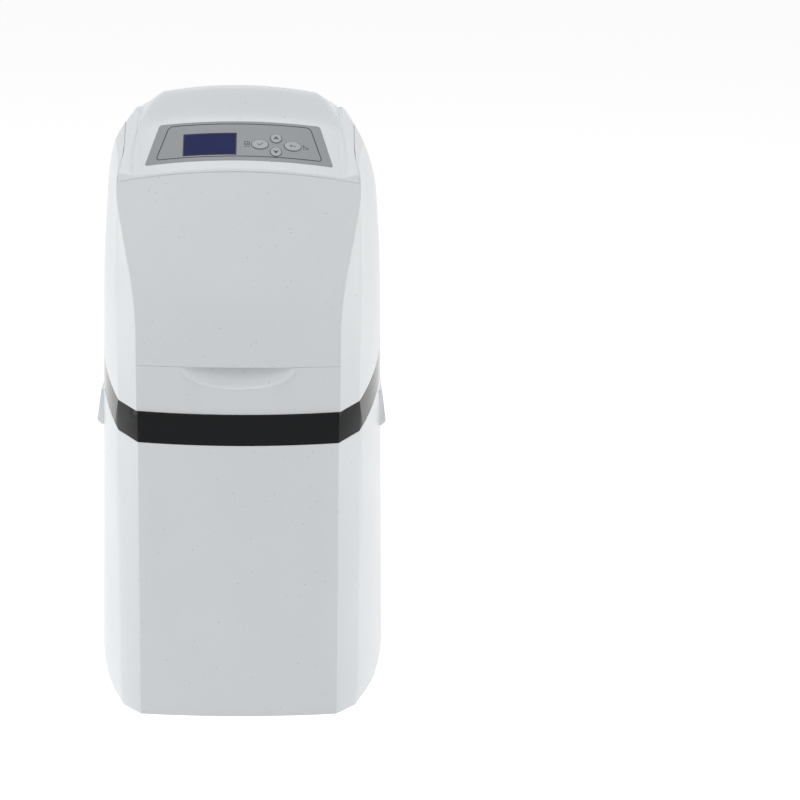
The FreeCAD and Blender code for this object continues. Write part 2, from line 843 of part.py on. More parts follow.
def make_hood_zone(name, gap):
    """The block that the control hood fills: over the lid, between the shoulders, to the back."""
    half = S.hood_half + gap
    zone = box(name + "_box", (-half, -FAR, S.hood_low - gap), (half, HOOD_BACK + gap, S.crest_z + 20))
    front = lid_plan(name + "_lid_block", -1, S.lid_low - 20, S.lid_arch_top + 20)
    under = common(name + "_under", front, lid_arch(name + "_arch", S.lid_arch_top + S.lid_top_gap - gap))
    return cut(name, zone, under)


def make_control_hood():
    """The hood, screwed to its ledge: sloping panel with openings, hump and board posts."""
    shell = common("hood_shell", cover_shell, make_hood_zone("hood_zone", as_size(0)))
    openings = [tilted(box("hood_lcd_opening", (0, 0, 0), (S.lcd_width + 2 * S.lcd_clear,
                S.lcd_height + 2 * S.lcd_clear, 40)), S.lcd_x - S.lcd_width / 2 - S.lcd_clear,
                S.lcd_s - S.lcd_height / 2 - S.lcd_clear, -20)]
    for name, x, s, long, short in key_places():
        openings.append(oval("hood_" + name, x, s, long + S.key_clear, short + S.key_clear, -20, 40))
    posts = []
    for x, s in board_posts():
        posts.append(tilted(rod(f"hood_post_{len(posts)}", 2.6, (0, 0, 0), S.board_depth), x, s, -S.board_depth))
    post_set = cut("hood_posts", fuse("hood_post_set", *posts), panel_crown("post_top", -S.cover_wall + 0.5, True))
    holes = hood_screw_rods("hood_screw_hole", S.screw_radius + 0.1, -8, 20)
    body = cut("hood_body", shell, *openings, *holes, swing_form("hood_relief"))
    node("control_hood", fuse("control_hood_body", body, post_set))


def hood_screw_rods(name, radius, low, height):
    """A rod square to the roof at each place where a screw holds the hood to its ledge."""
    z = S.crest_z - (SCREW_Y - CREST_Y) * tan(S.roof_fall) - S.ledge_drop / cos(S.roof_fall)
    rods = []
    for side, sign in (("left", -1), ("right", 1)):
        item = document.addObject("Part::Cylinder", f"{name}_{side}")
        bind(item, "Radius", radius)
        bind(item, "Height", height)
        y = SCREW_Y + low * sin(S.roof_fall)
        rods.append(put(item, sign * S.screw_x, y, z + low * cos(S.roof_fall), "x", -S.roof_fall))
    return rods


def visor_y(x, z):
    """Where the leaning front surface is at a place across and a height above its bend."""
    bow_radius = (S.front_corner_x * S.front_corner_x + S.front_bow * S.front_bow) / (2 * S.front_bow)
    bend_top = S.visor_bend_z + S.visor_bend_radius * sin(S.visor_lean)
    back = S.cover_setback + S.visor_bend_radius * (1 - cos(S.visor_lean)) + (z - bend_top) * tan(S.visor_lean)
    reach = bow_radius - back
    return FRONT + bow_radius - root(reach * reach - x * x)


def edge_reach(x):
    """Distance from the hinge line to the lid's top edge at a place across."""
    x = as_size(x)
    z = S.lid_arch_top - S.lid_arch_radius + root(S.lid_arch_radius * S.lid_arch_radius - x * x)
    run = HINGE_Y - visor_y(x, z)
    rise = z - S.hinge_z
    return root(run * run + rise * rise) + S.swing_clear


def swing_form(name):
    """The barrel-shaped space about the hinge line that the lid's arched top edge swings through."""
    half = S.lid_top_half + S.swing_clear
    middle = edge_reach(0)
    end = edge_reach(S.lid_top_half)
    sag = middle - end
    arc = (half * half + sag * sag) / (2 * sag)
    body = turned(name, [
        (0, -half),
        (end, -half),
        arc_to(end, half, middle - arc, 0, "x"),
        (0, half),
    ])
    return put(body, 0, HINGE_Y, S.hinge_z, "y", as_size(90))


def tilted(feature, x, s, n):
    """Place a feature in the panel's frame: x across, s up the slope, n out of it."""
    y = PANEL_Y + s * cos(S.panel_tilt) - n * sin(S.panel_tilt)
    z = S.panel_z + s * sin(S.panel_tilt) + n * cos(S.panel_tilt)
    return put(feature, x, y, z, "x", S.panel_tilt)


def panel_crown(name, rise, above=False):
    """The crowned solid under the panel's surface, or the space above it."""
    body = document.addObject("Part::Cylinder", name)
    bind(body, "Radius", S.panel_crown + rise)
    bind(body, "Height", FAR)
    turn = FreeCAD.Rotation(AXES["x"], S.panel_tilt.value - 90)
    body.Placement = FreeCAD.Placement(FreeCAD.Vector(), turn)
    bind(body, "Placement.Rotation.Angle", S.panel_tilt - 90)
    low = -150
    bind(body, "Placement.Base.y", PANEL_Y + low * cos(S.panel_tilt) + S.panel_crown * sin(S.panel_tilt))
    bind(body, "Placement.Base.z", S.panel_z + low * sin(S.panel_tilt) - S.panel_crown * cos(S.panel_tilt))
    if not above:
        return body
    slab = tilted(box(name + "_slab", (0, 0, 0), (2 * FAR, FAR, 60)), -FAR, as_size(-100), as_size(-20))
    return cut(name + "_above", slab, body)


def key_places():
    """Name, place and half sizes of each key."""
    return [
        ("key_select", S.key_select_x, S.key_row_s, S.oval_long, S.oval_short),
        ("key_up", S.key_arrow_x, S.key_row_s + S.key_arrow_step, S.key_radius, S.key_radius - 0.001),
        ("key_down", S.key_arrow_x, S.key_row_s - S.key_arrow_step, S.key_radius, S.key_radius - 0.001),
        ("key_escape", S.key_escape_x, S.key_row_s, S.oval_long, S.oval_short),
    ]


def board_posts():
    inset = 4
    return [(sign * (S.board_half - inset), s)
            for sign in (-1, 1) for s in (S.tray_start_s + inset, S.board_high_s - inset)]


def oval(name, x, s, long, short, low, height):
    """An elliptic column square to the panel."""
    ellipse = document.addObject("Part::Ellipse", name + "_outline")
    bind(ellipse, "MajorRadius", long)
    bind(ellipse, "MinorRadius", short)
    column = document.addObject("Part::Extrusion", name + "_column")
    column.Base = ellipse
    column.DirMode = "Custom"
    column.Dir = FreeCAD.Vector(0, 0, 1)
    column.Solid = True
    bind(column, "LengthFwd", height)
    return tilted(column, x, s, as_size(low))


def make_keys():
    """Four low keys, each with a flange that keeps it under the hood."""
    for name, x, s, long, short in key_places():
        low = key_low(x, long)
        column = oval(name + "_stem", x, s, long, short, -low, low + S.key_proud + 1)
        stem = common(name + "_crowned", column, panel_crown(name + "_top", S.label_wall + S.key_proud))
        flange = oval(name + "_flange", x, s, long + S.key_flange, short + S.key_flange, -low, S.key_flange_wall)
        node(name, fuse(name + "_body", stem, flange))


def key_low(x, long):
    """Depth of a key's foot: its flange stays just under the hood's crowned skin."""
    outer = x + long + S.key_flange
    return crown_drop(outer) + S.cover_wall + S.key_flange_gap + S.key_flange_wall


def make_display():
    """Label, window, display module, keypad mat, board and tray, all square to the panel."""
    half_low = S.label_half_low
    half_high = S.label_half_high
    blank = pad("label_blank", "XY_Plane", [
        (-half_low, S.label_low), (half_low, S.label_low), (half_high, S.label_high), (-half_high, S.label_high),
    ], 60)
    tilted(blank, as_size(0), as_size(0), as_size(0))
    skin = cut("label_skin", panel_crown("label_top", S.label_wall), panel_crown("label_under", 0))
    label = common("label_sheet", blank, skin)
    tools = [tilted(box("label_lcd", (0, 0, 0), (S.lcd_width, S.lcd_height, 40)),
             S.lcd_x - S.lcd_width / 2, S.lcd_s - S.lcd_height / 2, as_size(-20))]
    for name, x, s, long, short in key_places():
        tools.append(oval("label_" + name, x, s, long + S.key_clear, short + S.key_clear, -20, 40))
    node("panel_label", cut("panel_label_body", label, *tools))
    pane = tilted(box("pane", (0, 0, 0), (S.lcd_width + 2 * S.pane_clear, S.lcd_height + 2 * S.pane_clear, 12)),
                  S.lcd_x - S.lcd_width / 2 - S.pane_clear, S.lcd_s - S.lcd_height / 2 - S.pane_clear,
                  as_size(-10))
    window = common("lcd_window_body", pane, cut("pane_skin", panel_crown("pane_top", 0),
                    panel_crown("pane_under", -S.pane_wall)))
    node("lcd_window", window)
    module_high = S.pane_wall + crown_drop(S.lcd_width / 2 - S.lcd_x) + S.label_wall
    module = tilted(box("lcd_module_body", (0, 0, 0), (S.lcd_width - 2, S.lcd_height - 2,
                    S.board_depth - module_high)), S.lcd_x - S.lcd_width / 2 + 1, S.lcd_s - S.lcd_height / 2 + 1,
                    -S.board_depth)
    node("lcd_module", module)
    board = tilted(box("control_board_body", (0, 0, 0), (2 * S.board_half, S.board_high_s - S.board_low_s,
                   S.board_wall)), -S.board_half, S.board_low_s, -S.board_depth - S.board_wall)
    node("control_board", board)
    mat_x = S.key_select_x - S.oval_long - 3
    mat = [tilted(box("mat_sheet", (0, 0, 0), (S.key_escape_x + S.oval_long + 3 - mat_x, 28, 1.2)), mat_x,
           S.key_row_s - 14, -S.board_depth)]
    for name, x, s, long, short in key_places():
        dome = S.board_depth - key_low(x, long) - S.key_travel - 0.15
        mat.append(tilted(rod("mat_" + name, 3.6, (0, 0, 0), dome), x, s, -S.board_depth))
    node("keypad_mat", fuse("keypad_mat_body", *mat))
    low_s = S.tray_start_s
    tray_length = S.board_high_s - low_s + S.tray_wall + 1
    outer = tilted(box("tray_outer", (0, 0, 0), (2 * S.tray_half, tray_length, S.tray_low - S.tray_high)),
                   -S.tray_half, low_s, -S.tray_low)
    inner = tilted(box("tray_inner", (0, 0, 0), (2 * (S.tray_half - S.tray_wall), tray_length - S.tray_wall + 10, 30)),
                   -S.tray_half + S.tray_wall, low_s - 10, -S.tray_low + S.tray_wall)
    pegs = [tilted(rod(f"tray_peg_{index}", 3, (0, 0, 0), S.tray_low - S.board_depth - S.board_wall), x, s,
            -S.tray_low) for index, (x, s) in enumerate(board_posts())]
    node("board_tray", fuse("board_tray_body", cut("tray_shell", outer, inner), *pegs))


def make_top_cover():
    """The fixed cover: shoulders, side and back walls, sill with its finger scoop, hinge bosses, ledge."""
    above = band_slab("above_band", band_high, 3 * FAR)
    shell = cut("cover_less_hood", common("cover_above_band", cover_shell, above),
                make_hood_zone("cover_hood_zone", S.hood_gap))
    opening = lid_plan("lid_opening_block", S.lid_edge_strip, S.lid_low - S.lid_low_gap, S.crest_z)
    front = cut("lid_opening", opening, visor_form("lid_opening_back", S.cover_setback + S.cover_wall + 2))
    bosses = []
    for side, sign in (("left", -1), ("right", 1)):
        start = S.ear_x + S.ear_wall + 0.5
        length = S.chamfer_corner_x - start + 1
        x = start if sign > 0 else -start - length
        bosses.append(rod(f"hinge_boss_{side}", S.hinge_boss_radius, (x, HINGE_Y, S.hinge_z), length, "x"))
    scoop_outer = bowl("scoop_outer", S.scoop_wall)
    scoop_inner = bowl("scoop_inner", as_size(0))
    cup = common("scoop_cup", cut("scoop_bowl", scoop_outer, scoop_inner),
                 box("scoop_limit", (-FAR, FRONT + 2.5, S.lid_low - 60), (FAR, FAR, S.lid_low - S.lid_low_gap)))
    ledge = common("hood_ledge", cut("ledge_roof", roof_form("ledge_outside", S.cover_wall),
                   roof_form("ledge_inside", S.cover_wall + S.ledge_wall)),
                   fuse("ledge_strips",
                        box("ledge_left", (-S.hood_half - 6, CREST_Y + 30, S.hood_low - 40),
                            (-S.hood_half + S.ledge_reach, HOOD_BACK + 8, S.crest_z)),
                        box("ledge_right", (S.hood_half - S.ledge_reach, CREST_Y + 30, S.hood_low - 40),
                            (S.hood_half + 6, HOOD_BACK + 8, S.crest_z))))
    ledge_fit = common("hood_ledge_fit", ledge, cover_inside)
    outlet = box("outlet_opening", (-S.outlet_half, BACK - 30, 0), (S.outlet_half, BACK + 30, S.outlet_high))
    inlet = rod("inlet_opening", S.inlet_radius + 0.1, (INLET_X, BACK - 20, S.inlet_z), 40, "y")
    pocket = cut("swing_pocket", swing_form("cover_swing"),
                 rod("pocket_core", S.hinge_boss_radius + S.swing_clear, (-FAR, HINGE_Y, S.hinge_z), 2 * FAR, "x"))
    body = cut("cover_cut", shell, front, scoop_inner, outlet, inlet, pocket)
    whole = fuse("cover_whole", body, cup, *bosses, ledge_fit)
    bore = S.ear_x + S.ear_wall + S.pin_overhang + 1
    pins = rod("cover_pin_bore", S.hinge_pin_radius + S.hinge_clear, (-bore, HINGE_Y, S.hinge_z), 2 * bore, "x")
    holes = hood_screw_rods("ledge_screw_hole", S.screw_radius + 0.1, -8, 20)
    node("top_cover", cut("top_cover_body", whole, pins, *holes))


def bowl(name, wall):
    """The finger scoop's hollow: half an egg shape under the lid's lower edge."""
    egg = document.addObject("Part::Ellipsoid", name)
    bind(egg, "Radius1", S.scoop_drop + wall)
    bind(egg, "Radius2", S.scoop_half + wall)
    bind(egg, "Radius3", S.scoop_depth + wall)
    return put(egg, 0, FRONT + S.cover_setback, S.lid_low)


def make_vessel():
    """Pressure vessel with its boot, riser tube, strainers, resin and neck seal."""
    radius = S.vessel_radius
    wall = S.vessel_wall
    foot_r = radius - S.vessel_foot
    foot_z = S.vessel_low + S.vessel_foot
    dome_r = radius - S.vessel_dome
    dome_z = S.vessel_high - S.vessel_dome
    neck_top = S.vessel_high + S.neck_height
    node("pressure_tank", turned("pressure_tank_body", [
        (0, S.vessel_low),
        (foot_r, S.vessel_low),
        arc_to(radius, foot_z, foot_r, foot_z, "y"),
        (radius, dome_z),
        arc_to(dome_r, S.vessel_high, dome_r, dome_z, "y"),
        (S.neck_radius, S.vessel_high),
        (S.neck_radius, neck_top),
        (S.neck_bore, neck_top),
        (S.neck_bore, S.vessel_high - wall),
        (dome_r, S.vessel_high - wall),
        arc_to(radius - wall, dome_z, dome_r, dome_z, "y", True),
        (radius - wall, foot_z),
        arc_to(foot_r, S.vessel_low + wall, foot_r, foot_z, "y", True),
        (0, S.vessel_low + wall),
    ], 0, VESSEL_Y, 0))
    seat_r = radius + S.boot_clear
    node("tank_boot", turned("tank_boot_body", [
        (S.boot_bore, S.tub_floor),
        (seat_r + S.boot_wall, S.tub_floor),
        (seat_r + S.boot_wall, S.tub_floor + S.boot_height + 10),
        (seat_r, S.tub_floor + S.boot_height + 10),
        (seat_r, foot_z),
        arc_to(foot_r, S.vessel_low - S.boot_clear, foot_r, foot_z, "y", True),
        (foot_r - 1, S.vessel_low),
        (S.boot_bore, S.vessel_low),
    ], 0, VESSEL_Y, 0))
    riser_top = S.barrel_z - S.piston_bore - 3
    node("riser_tube", tube("riser_tube_body", S.riser_radius, S.riser_bore,
                            (0, VESSEL_Y, S.vessel_low + wall + 14), riser_top - S.vessel_low - wall - 14))
    make_strainers(riser_top)
    resin_r = radius - wall - S.resin_clear
    resin_foot = S.vessel_foot - wall - S.resin_clear
    core = S.riser_radius + S.resin_clear
    basket = S.strainer_radius + 2 * S.resin_clear
    node("resin_bed", turned("resin_bed_body", [
        (basket, foot_z - resin_foot),
        (foot_r, foot_z - resin_foot),
        arc_to(resin_r, foot_z, foot_r, foot_z, "y"),
        (resin_r, S.resin_high),
        (core, S.resin_high),
        (core, S.strainer_high + 1),
        (basket, S.strainer_high + 1),
    ], 0, VESSEL_Y, 0))
    node("neck_seal", tube("neck_seal_body", S.neck_bore - 0.3, S.stem_radius - 9,
                           (0, VESSEL_Y, S.vessel_high - wall), 3.0))


def make_strainers(riser_top):
    """Slotted baskets: one under the resin at the foot of the riser, one below the valve."""
    low = S.vessel_low + S.vessel_wall
    floor = rod("strainer_floor", S.strainer_radius, (0, VESSEL_Y, low), 3)
    lid = tube("strainer_lid", S.strainer_radius, S.riser_radius + 0.02, (0, VESSEL_Y, S.strainer_high - 4), 4)
    mesh = tube("strainer_mesh", S.strainer_radius - 1, S.strainer_radius - 3, (0, VESSEL_Y, low),
                S.strainer_high - low)
    node("bottom_strainer", slotted("bottom_strainer", [floor, lid, mesh], low + 6, S.strainer_high - low - 14))
    high = S.vessel_high - S.vessel_wall
    top = tube("upper_mesh", S.strainer_radius - 1, S.strainer_radius - 3, (0, VESSEL_Y, high - 36), 36)
    foot = tube("upper_foot", S.strainer_radius, S.riser_radius + 0.05, (0, VESSEL_Y, high - 36), 3)
    collar = tube("upper_collar", S.stem_radius - 9.3, S.strainer_radius - 3, (0, VESSEL_Y, high - 3), 6)
    node("top_strainer", slotted("top_strainer", [top, foot, collar], high - 30, as_size(22)))


def slotted(name, pieces, low, height):
    """A basket with one row of upright slots; each slot goes right through."""
    count = SIZES["strainer_slots"] // 2
    slots = []
    for index in range(count):
        slot = box(f"{name}_slot_{index}", (-60, -0.8, 0), (60, 0.8, height))
        angle = 360 / (2 * count) * (index + 0.5)
        slot.Placement = FreeCAD.Placement(FreeCAD.Vector(), FreeCAD.Rotation(AXES["z"], angle))
        slot.setExpression("Placement.Base.x", f"-60 * cos({angle:.6g})")
        bind(slot, "Placement.Base.y", VESSEL_Y - 60 * as_size(math.sin(math.radians(angle))))
        bind(slot, "Placement.Base.z", low)
        slots.append(slot)
    return cut(name + "_body", fuse(name + "_blank", *pieces), *slots)


def make_valve():
    """The control valve body: neck, stem, barrel along Y and two ports to the back."""
    neck_top = S.vessel_high + S.neck_height
    low = S.vessel_high - S.vessel_wall + 3
    port_x = S.port_spacing / 2
    port_front = VESSEL_Y + 20
    block_reach = S.port_radius + 1.5
    solids = [
        rod("valve_spigot", S.neck_bore - 0.5, (0, VESSEL_Y, low), neck_top - low),
        rod("valve_flange", S.neck_radius + 2, (0, VESSEL_Y, neck_top), 12),
        rod("valve_stem", S.stem_radius, (0, VESSEL_Y, neck_top), S.barrel_z - 8 - neck_top),
        rod("valve_barrel", S.barrel_radius, (0, BARREL_FRONT, S.barrel_z), BARREL_BACK - BARREL_FRONT, "y"),
        box("valve_block", (-port_x - block_reach, port_front - 2, S.port_z - block_reach),
            (port_x + block_reach, BARREL_BACK - 6, S.port_z + block_reach + 6)),
        rod("injector_boss", S.injector_radius, (-S.injector_x, VESSEL_Y, S.injector_z),
            S.injector_x - S.stem_radius + 12, "x"),
        rod("drain_boss", 12, (S.stem_radius - 12, VESSEL_Y, S.injector_z), 30, "x"),
    ]
    for name, sign in (("outlet", -1), ("inlet", 1)):
        solids.append(rod(f"port_{name}", S.port_radius, (sign * port_x, port_front, S.port_z),
                          PORT_BACK - port_front, "y"))
        solids.append(rod(f"port_flange_{name}", S.port_radius + 5, (sign * port_x, PORT_BACK - 26, S.port_z), 3, "y"))
    cuts = [
        rod("valve_riser_bore", S.riser_radius + 0.1, (0, VESSEL_Y, low - 1), S.barrel_z - low),
        rod("valve_piston_bore", S.piston_bore, (0, BARREL_FRONT - 1, S.barrel_z),
            STACK_FRONT + stack_length() - BARREL_FRONT + 1, "y"),
        rod("drain_bore", 6, (10, VESSEL_Y, S.injector_z), 60, "x"),
        rod("injector_bore", 8, (-S.injector_x - 1, VESSEL_Y, S.injector_z), S.injector_x - 16, "x"),
    ]
    for name, sign in (("outlet", -1), ("inlet", 1)):
        cuts.append(rod(f"port_bore_{name}", S.port_bore, (sign * port_x, port_front + 10, S.port_z),
                        PORT_BACK - port_front, "y"))
        cuts.append(rod(f"port_cross_{name}", 8, (0 if sign > 0 else -port_x, port_front + 22, S.port_z + 12),
                        port_x, "x"))
    node("valve_body", cut("valve_body_body", fuse("valve_blank", *solids), *cuts))
    make_seal_stack()
    make_piston()
    cap_x = -S.injector_x - 6
    disc = rod("injector_disc", S.injector_radius + 4, (cap_x, VESSEL_Y, S.injector_z), 6, "x")
    plug = rod("injector_plug", 7.7, (cap_x + 6, VESSEL_Y, S.injector_z), 14, "x")
    spout = rod("injector_spout", 4.2, (cap_x - 8, VESSEL_Y, S.injector_z), 8, "x")
    node("injector_cap", fuse("injector_cap_body", disc, plug, spout))
    screws = [rod(f"injector_screw_{index}", 3, (cap_x - 3, VESSEL_Y, S.injector_z + dz), 3, "x")
              for index, dz in enumerate((-15, 15))]
    node("injector_screws", group("injector_screw_pair", *screws))
    drain_x = S.stem_radius + 18
    nut = pad("drain_nut", "YZ_Plane", hexagon(11), 10, symmetric=False)
    put(nut, drain_x, VESSEL_Y, S.injector_z)
    spigot = rod("drain_spigot", 7.5, (drain_x + 10, VESSEL_Y, S.injector_z), 12, "x")
    turn = rod("drain_turn", 9, (drain_x + 22, VESSEL_Y - 9, S.injector_z), 18, "y")
    barb_front = PORT_BACK - 4 - S.drain_grip
    run = rod("drain_run", S.drain_radius + 0.5, (drain_x + 22, VESSEL_Y + 6, S.injector_z), barb_front - VESSEL_Y - 6, "y")
    collar = rod("drain_collar", S.drain_radius + 3, (drain_x + 22, barb_front - 3, S.injector_z), 3, "y")
    barb = rod("drain_barb", S.drain_radius, (drain_x + 22, barb_front - 1, S.injector_z), S.drain_grip + 1, "y")
    bore = rod("drain_barb_bore", S.drain_radius - 2, (drain_x + 22, VESSEL_Y, S.injector_z), PORT_BACK, "y")
    node("drain_fitting", cut("drain_fitting_body", fuse("drain_blank", nut, spigot, turn, run, collar, barb), bore))


def hexagon(flat_half):
    """Corners of a hexagon from half its width across flats."""
    reach = flat_half / math.cos(math.radians(30))
    return [(reach * math.cos(math.radians(60 * k)), reach * math.sin(math.radians(60 * k))) for k in range(6)]


def stack_length():
    return (S.stack_count + 1) * S.seal_width + S.stack_count * S.spacer_width


def make_seal_stack():
    """Rubber seals with hard spacers between them, in a row along the piston bore."""
    seals = []
    spacers = []
    step = S.seal_width + S.spacer_width
    outer = S.piston_bore - 0.05
    for index in range(SIZES["stack_count"] + 1):
        front = STACK_FRONT + index * step
        seals.append(tube(f"seal_{index}", outer, S.piston_radius + S.running_clear, (0, front, S.barrel_z),
                          S.seal_width, "y"))
        if index < SIZES["stack_count"]:
            spacers.append(tube(f"spacer_{index}", outer, S.spacer_bore, (0, front + S.seal_width, S.barrel_z),
                                S.spacer_width, "y"))
    node("piston_seals", group("piston_seal_set", *seals))
    node("seal_spacers", group("seal_spacer_set", *spacers))


def make_piston():
    """The piston with two waists, and the rod that the drive gear turns on."""
    land = 12
    waist = S.piston_radius - 4
    profile = [
        (0, 0),
        (S.piston_radius, 0),
        (S.piston_radius, land),
        (waist, land),
        (waist, S.piston_length / 2 - land / 2),
        (S.piston_radius, S.piston_length / 2 - land / 2),
        (S.piston_radius, S.piston_length / 2 + land / 2),
        (waist, S.piston_length / 2 + land / 2),
        (waist, S.piston_length - land),
        (S.piston_radius, S.piston_length - land),
        (S.piston_radius, S.piston_length),
        (0, S.piston_length),
    ]
    body = turned("piston_turning", profile)
    put(body, 0, PISTON_FRONT, S.barrel_z, "x", as_size(-90))
    shaft = rod("piston_shaft", S.rod_radius, (0, ROD_FRONT, S.barrel_z), PISTON_FRONT - ROD_FRONT, "y")
    node("piston", fuse("piston_body", body, shaft))
    plug = rod("plug_disc", S.piston_bore - 0.05, (0, BARREL_FRONT, S.barrel_z), STACK_FRONT - BARREL_FRONT, "y")
    flange = rod("plug_flange", S.barrel_radius, (0, BARREL_FRONT - 6, S.barrel_z), 6, "y")
    hole = rod("plug_bore", S.rod_radius + S.running_clear, (0, BARREL_FRONT - 10, S.barrel_z), 30, "y")
    node("end_plug", cut("end_plug_body", fuse("plug_blank", plug, flange), hole))


def gear_outline(teeth, phase):
    """Corners of a gear: each tooth has a root, a pitch and a tip width, thinned by the backlash."""
    module = SIZES["gear_module"]
    pitch = module * teeth / 2
    half_root = 0.5 * math.pi / teeth + (SIZES["gear_module"] * 0.45) / pitch
    half_pitch = 0.5 * math.pi / teeth - SIZES["gear_backlash"] / pitch
    half_tip = half_pitch - 0.36 * module / pitch
    corners = []
    for index in range(teeth):
        middle = phase + 2 * math.pi * index / teeth
        for radius, angle in ((pitch - 1.2 * module, -half_root), (pitch, -half_pitch), (pitch + module, -half_tip),
                              (pitch + module, half_tip), (pitch, half_pitch), (pitch - 1.2 * module, half_root)):
            corners.append(FreeCAD.Vector(radius * math.cos(middle + angle), 0, radius * math.sin(middle + angle)))
    return corners


def gear_blank(name, teeth, phase, x):
    """A toothed disc along Y; its outline comes from a formula, so it has a shape of its own."""
    corners = gear_outline(teeth, phase)
    face = Part.Face(Part.makePolygon(corners + corners[:1]))
    feature = document.addObject("Part::Feature", name)
    feature.Shape = face.extrude(FreeCAD.Vector(0, SIZES["gear_width"], 0))
    return put(feature, x, GEAR_FRONT, S.barrel_z)


def make_drive():
    """Bracket, drive gear on the piston rod, pinion on the motor's shaft, and the motor."""
    spacing = S.gear_module * (S.gear_teeth + S.pinion_teeth) / 2
    plug_front = BARREL_FRONT - 6
    teeth = gear_blank("drive_gear_teeth", SIZES["gear_teeth"], 0.0, as_size(0))
    hub_front = BRACKET_Y
    hub = rod("drive_gear_hub", S.hub_radius, (0, hub_front, S.barrel_z), plug_front - hub_front - 0.3, "y")
    bore = rod("drive_gear_bore", S.rod_radius + S.running_clear, (0, hub_front - 5, S.barrel_z), 50, "y")
    node("drive_gear", cut("drive_gear_body", fuse("drive_gear_blank", teeth, hub), bore))
    half_pitch = math.pi / SIZES["pinion_teeth"]
    pinion = gear_blank("pinion_teeth_form", SIZES["pinion_teeth"], half_pitch, spacing)
    shaft = rod("pinion_shaft", S.motor_shaft, (spacing, BRACKET_Y - 10, S.barrel_z),
                GEAR_FRONT + S.gear_width + 3 - BRACKET_Y + 10, "y")
    node("drive_pinion", fuse("drive_pinion_body", pinion, shaft))
    motor = rod("motor_can", S.motor_radius, (spacing, BRACKET_Y - S.motor_length, S.barrel_z), S.motor_length, "y")
    well = rod("motor_bearing", S.motor_shaft + S.running_clear, (spacing, BRACKET_Y - 10.3, S.barrel_z), 20, "y")
    node("drive_motor", cut("drive_motor_body", motor, well))
    plate = box("bracket_plate", (-44, BRACKET_Y, S.barrel_z - 38),
                (spacing + S.motor_radius + 6, BRACKET_Y + S.bracket_wall, S.barrel_z + 38))
    arm = box("bracket_arm", (-44, BRACKET_Y, S.barrel_z - 38), (-38, BARREL_FRONT + 14, S.barrel_z + 10))
    foot = box("bracket_foot", (-44, BARREL_FRONT + 4, S.barrel_z - 12), (-20, BARREL_FRONT + 14, S.barrel_z + 10))
    barrel_space = rod("bracket_barrel_space", S.barrel_radius, (0, 0, S.barrel_z), 300, "y")
    hub_hole = rod("bracket_hub_hole", S.hub_radius + S.running_clear, (0, BRACKET_Y - 5, S.barrel_z), 20, "y")
    pinion_hole = rod("bracket_pinion_hole", S.motor_shaft + 3, (spacing, BRACKET_Y - 5, S.barrel_z), 20, "y")
    node("drive_bracket", cut("drive_bracket_body", fuse("bracket_blank", plate, arm, foot),
                              barrel_space, hub_hole, pinion_hole))


def make_meter():
    """A bladed wheel in the outlet port, on an axle held by two three-armed cages."""
    x = -S.port_spacing / 2
    middle = (x, TURBINE_Y, S.port_z)
    hub = rod("turbine_hub", 3, middle, S.turbine_width, "y")
    blades = []
    for index in range(SIZES["turbine_blades"]):
        blade = document.addObject("Part::Box", f"turbine_blade_{index}")
        bind(blade, "Length", S.turbine_radius - 2)
        bind(blade, "Width", S.turbine_width * 1.2)
        blade.Height = 1
        angle = 360 / SIZES["turbine_blades"] * index
        turn = FreeCAD.Rotation(AXES["y"], angle) * FreeCAD.Rotation(AXES["x"], 35)
        reach = turn.multVec(FreeCAD.Vector(2, 0, 0))
        blade.Placement = FreeCAD.Placement(FreeCAD.Vector(), turn)
        put_base(blade, x + reach.x, TURBINE_Y, S.port_z + reach.z)
        blades.append(blade)
    limit = rod("turbine_limit", S.turbine_radius, middle, S.turbine_width, "y")
    wheel = common("turbine_wheel", fuse("turbine_set", hub, *blades), limit)
    bore = rod("turbine_bore", S.axle_radius + S.running_clear, (x, TURBINE_Y - 5, S.port_z), 30, "y")
    node("flow_turbine", cut("flow_turbine_body", wheel, bore))
    axle = rod("turbine_axle", S.axle_radius, (x, TURBINE_Y - 3, S.port_z), S.turbine_width + 6, "y")
    arms = []
    for place, y in (("front", TURBINE_Y - 3), ("back", TURBINE_Y + S.turbine_width + 0.5)):
        for index in range(3):
            arm = document.addObject("Part::Box", f"cage_arm_{place}_{index}")
            bind(arm, "Length", S.port_bore)
            arm.Width = 2.5
            arm.Height = 1.6
            turn = FreeCAD.Rotation(AXES["y"], 120 * index + 30)
            shift = turn.multVec(FreeCAD.Vector(0, 0, -0.8))
            arm.Placement = FreeCAD.Placement(FreeCAD.Vector(), turn)
            put_base(arm, x + shift.x, y, S.port_z + shift.z)
            arms.append(arm)
    fit = rod("cage_fit", S.port_bore, (x, TURBINE_Y - 20, S.port_z), 60, "y")
    node("turbine_cage", common("turbine_cage_body", fuse("cage_set", axle, *arms), fit))


def put_base(feature, x, y, z):
    """Place a feature that keeps the rotation it has."""
    for name, size in (("x", x), ("y", y), ("z", z)):
        bind(feature, f"Placement.Base.{name}", size)


def bent_wire(points, radii):
    """Straight runs joined by tangent arcs."""
    edges = []
    start = points[0]
    for index in range(1, len(points) - 1):
        before = (points[index - 1] - points[index]).normalize()
        after = (points[index + 1] - points[index]).normalize()
        half = before.getAngle(after) / 2
        reach = radii[index - 1] / math.tan(half)
        a = points[index] + before * reach
        b = points[index] + after * reach
        middle_way = (before + after).normalize()
        centre = points[index] + middle_way * (radii[index - 1] / math.sin(half))
        top = centre - middle_way * radii[index - 1]
        edges.append(Part.LineSegment(start, a).toShape())
        edges.append(Part.Arc(a, top, b).toShape())
        start = b
    edges.append(Part.LineSegment(start, points[-1]).toShape())
    return Part.Wire(edges)


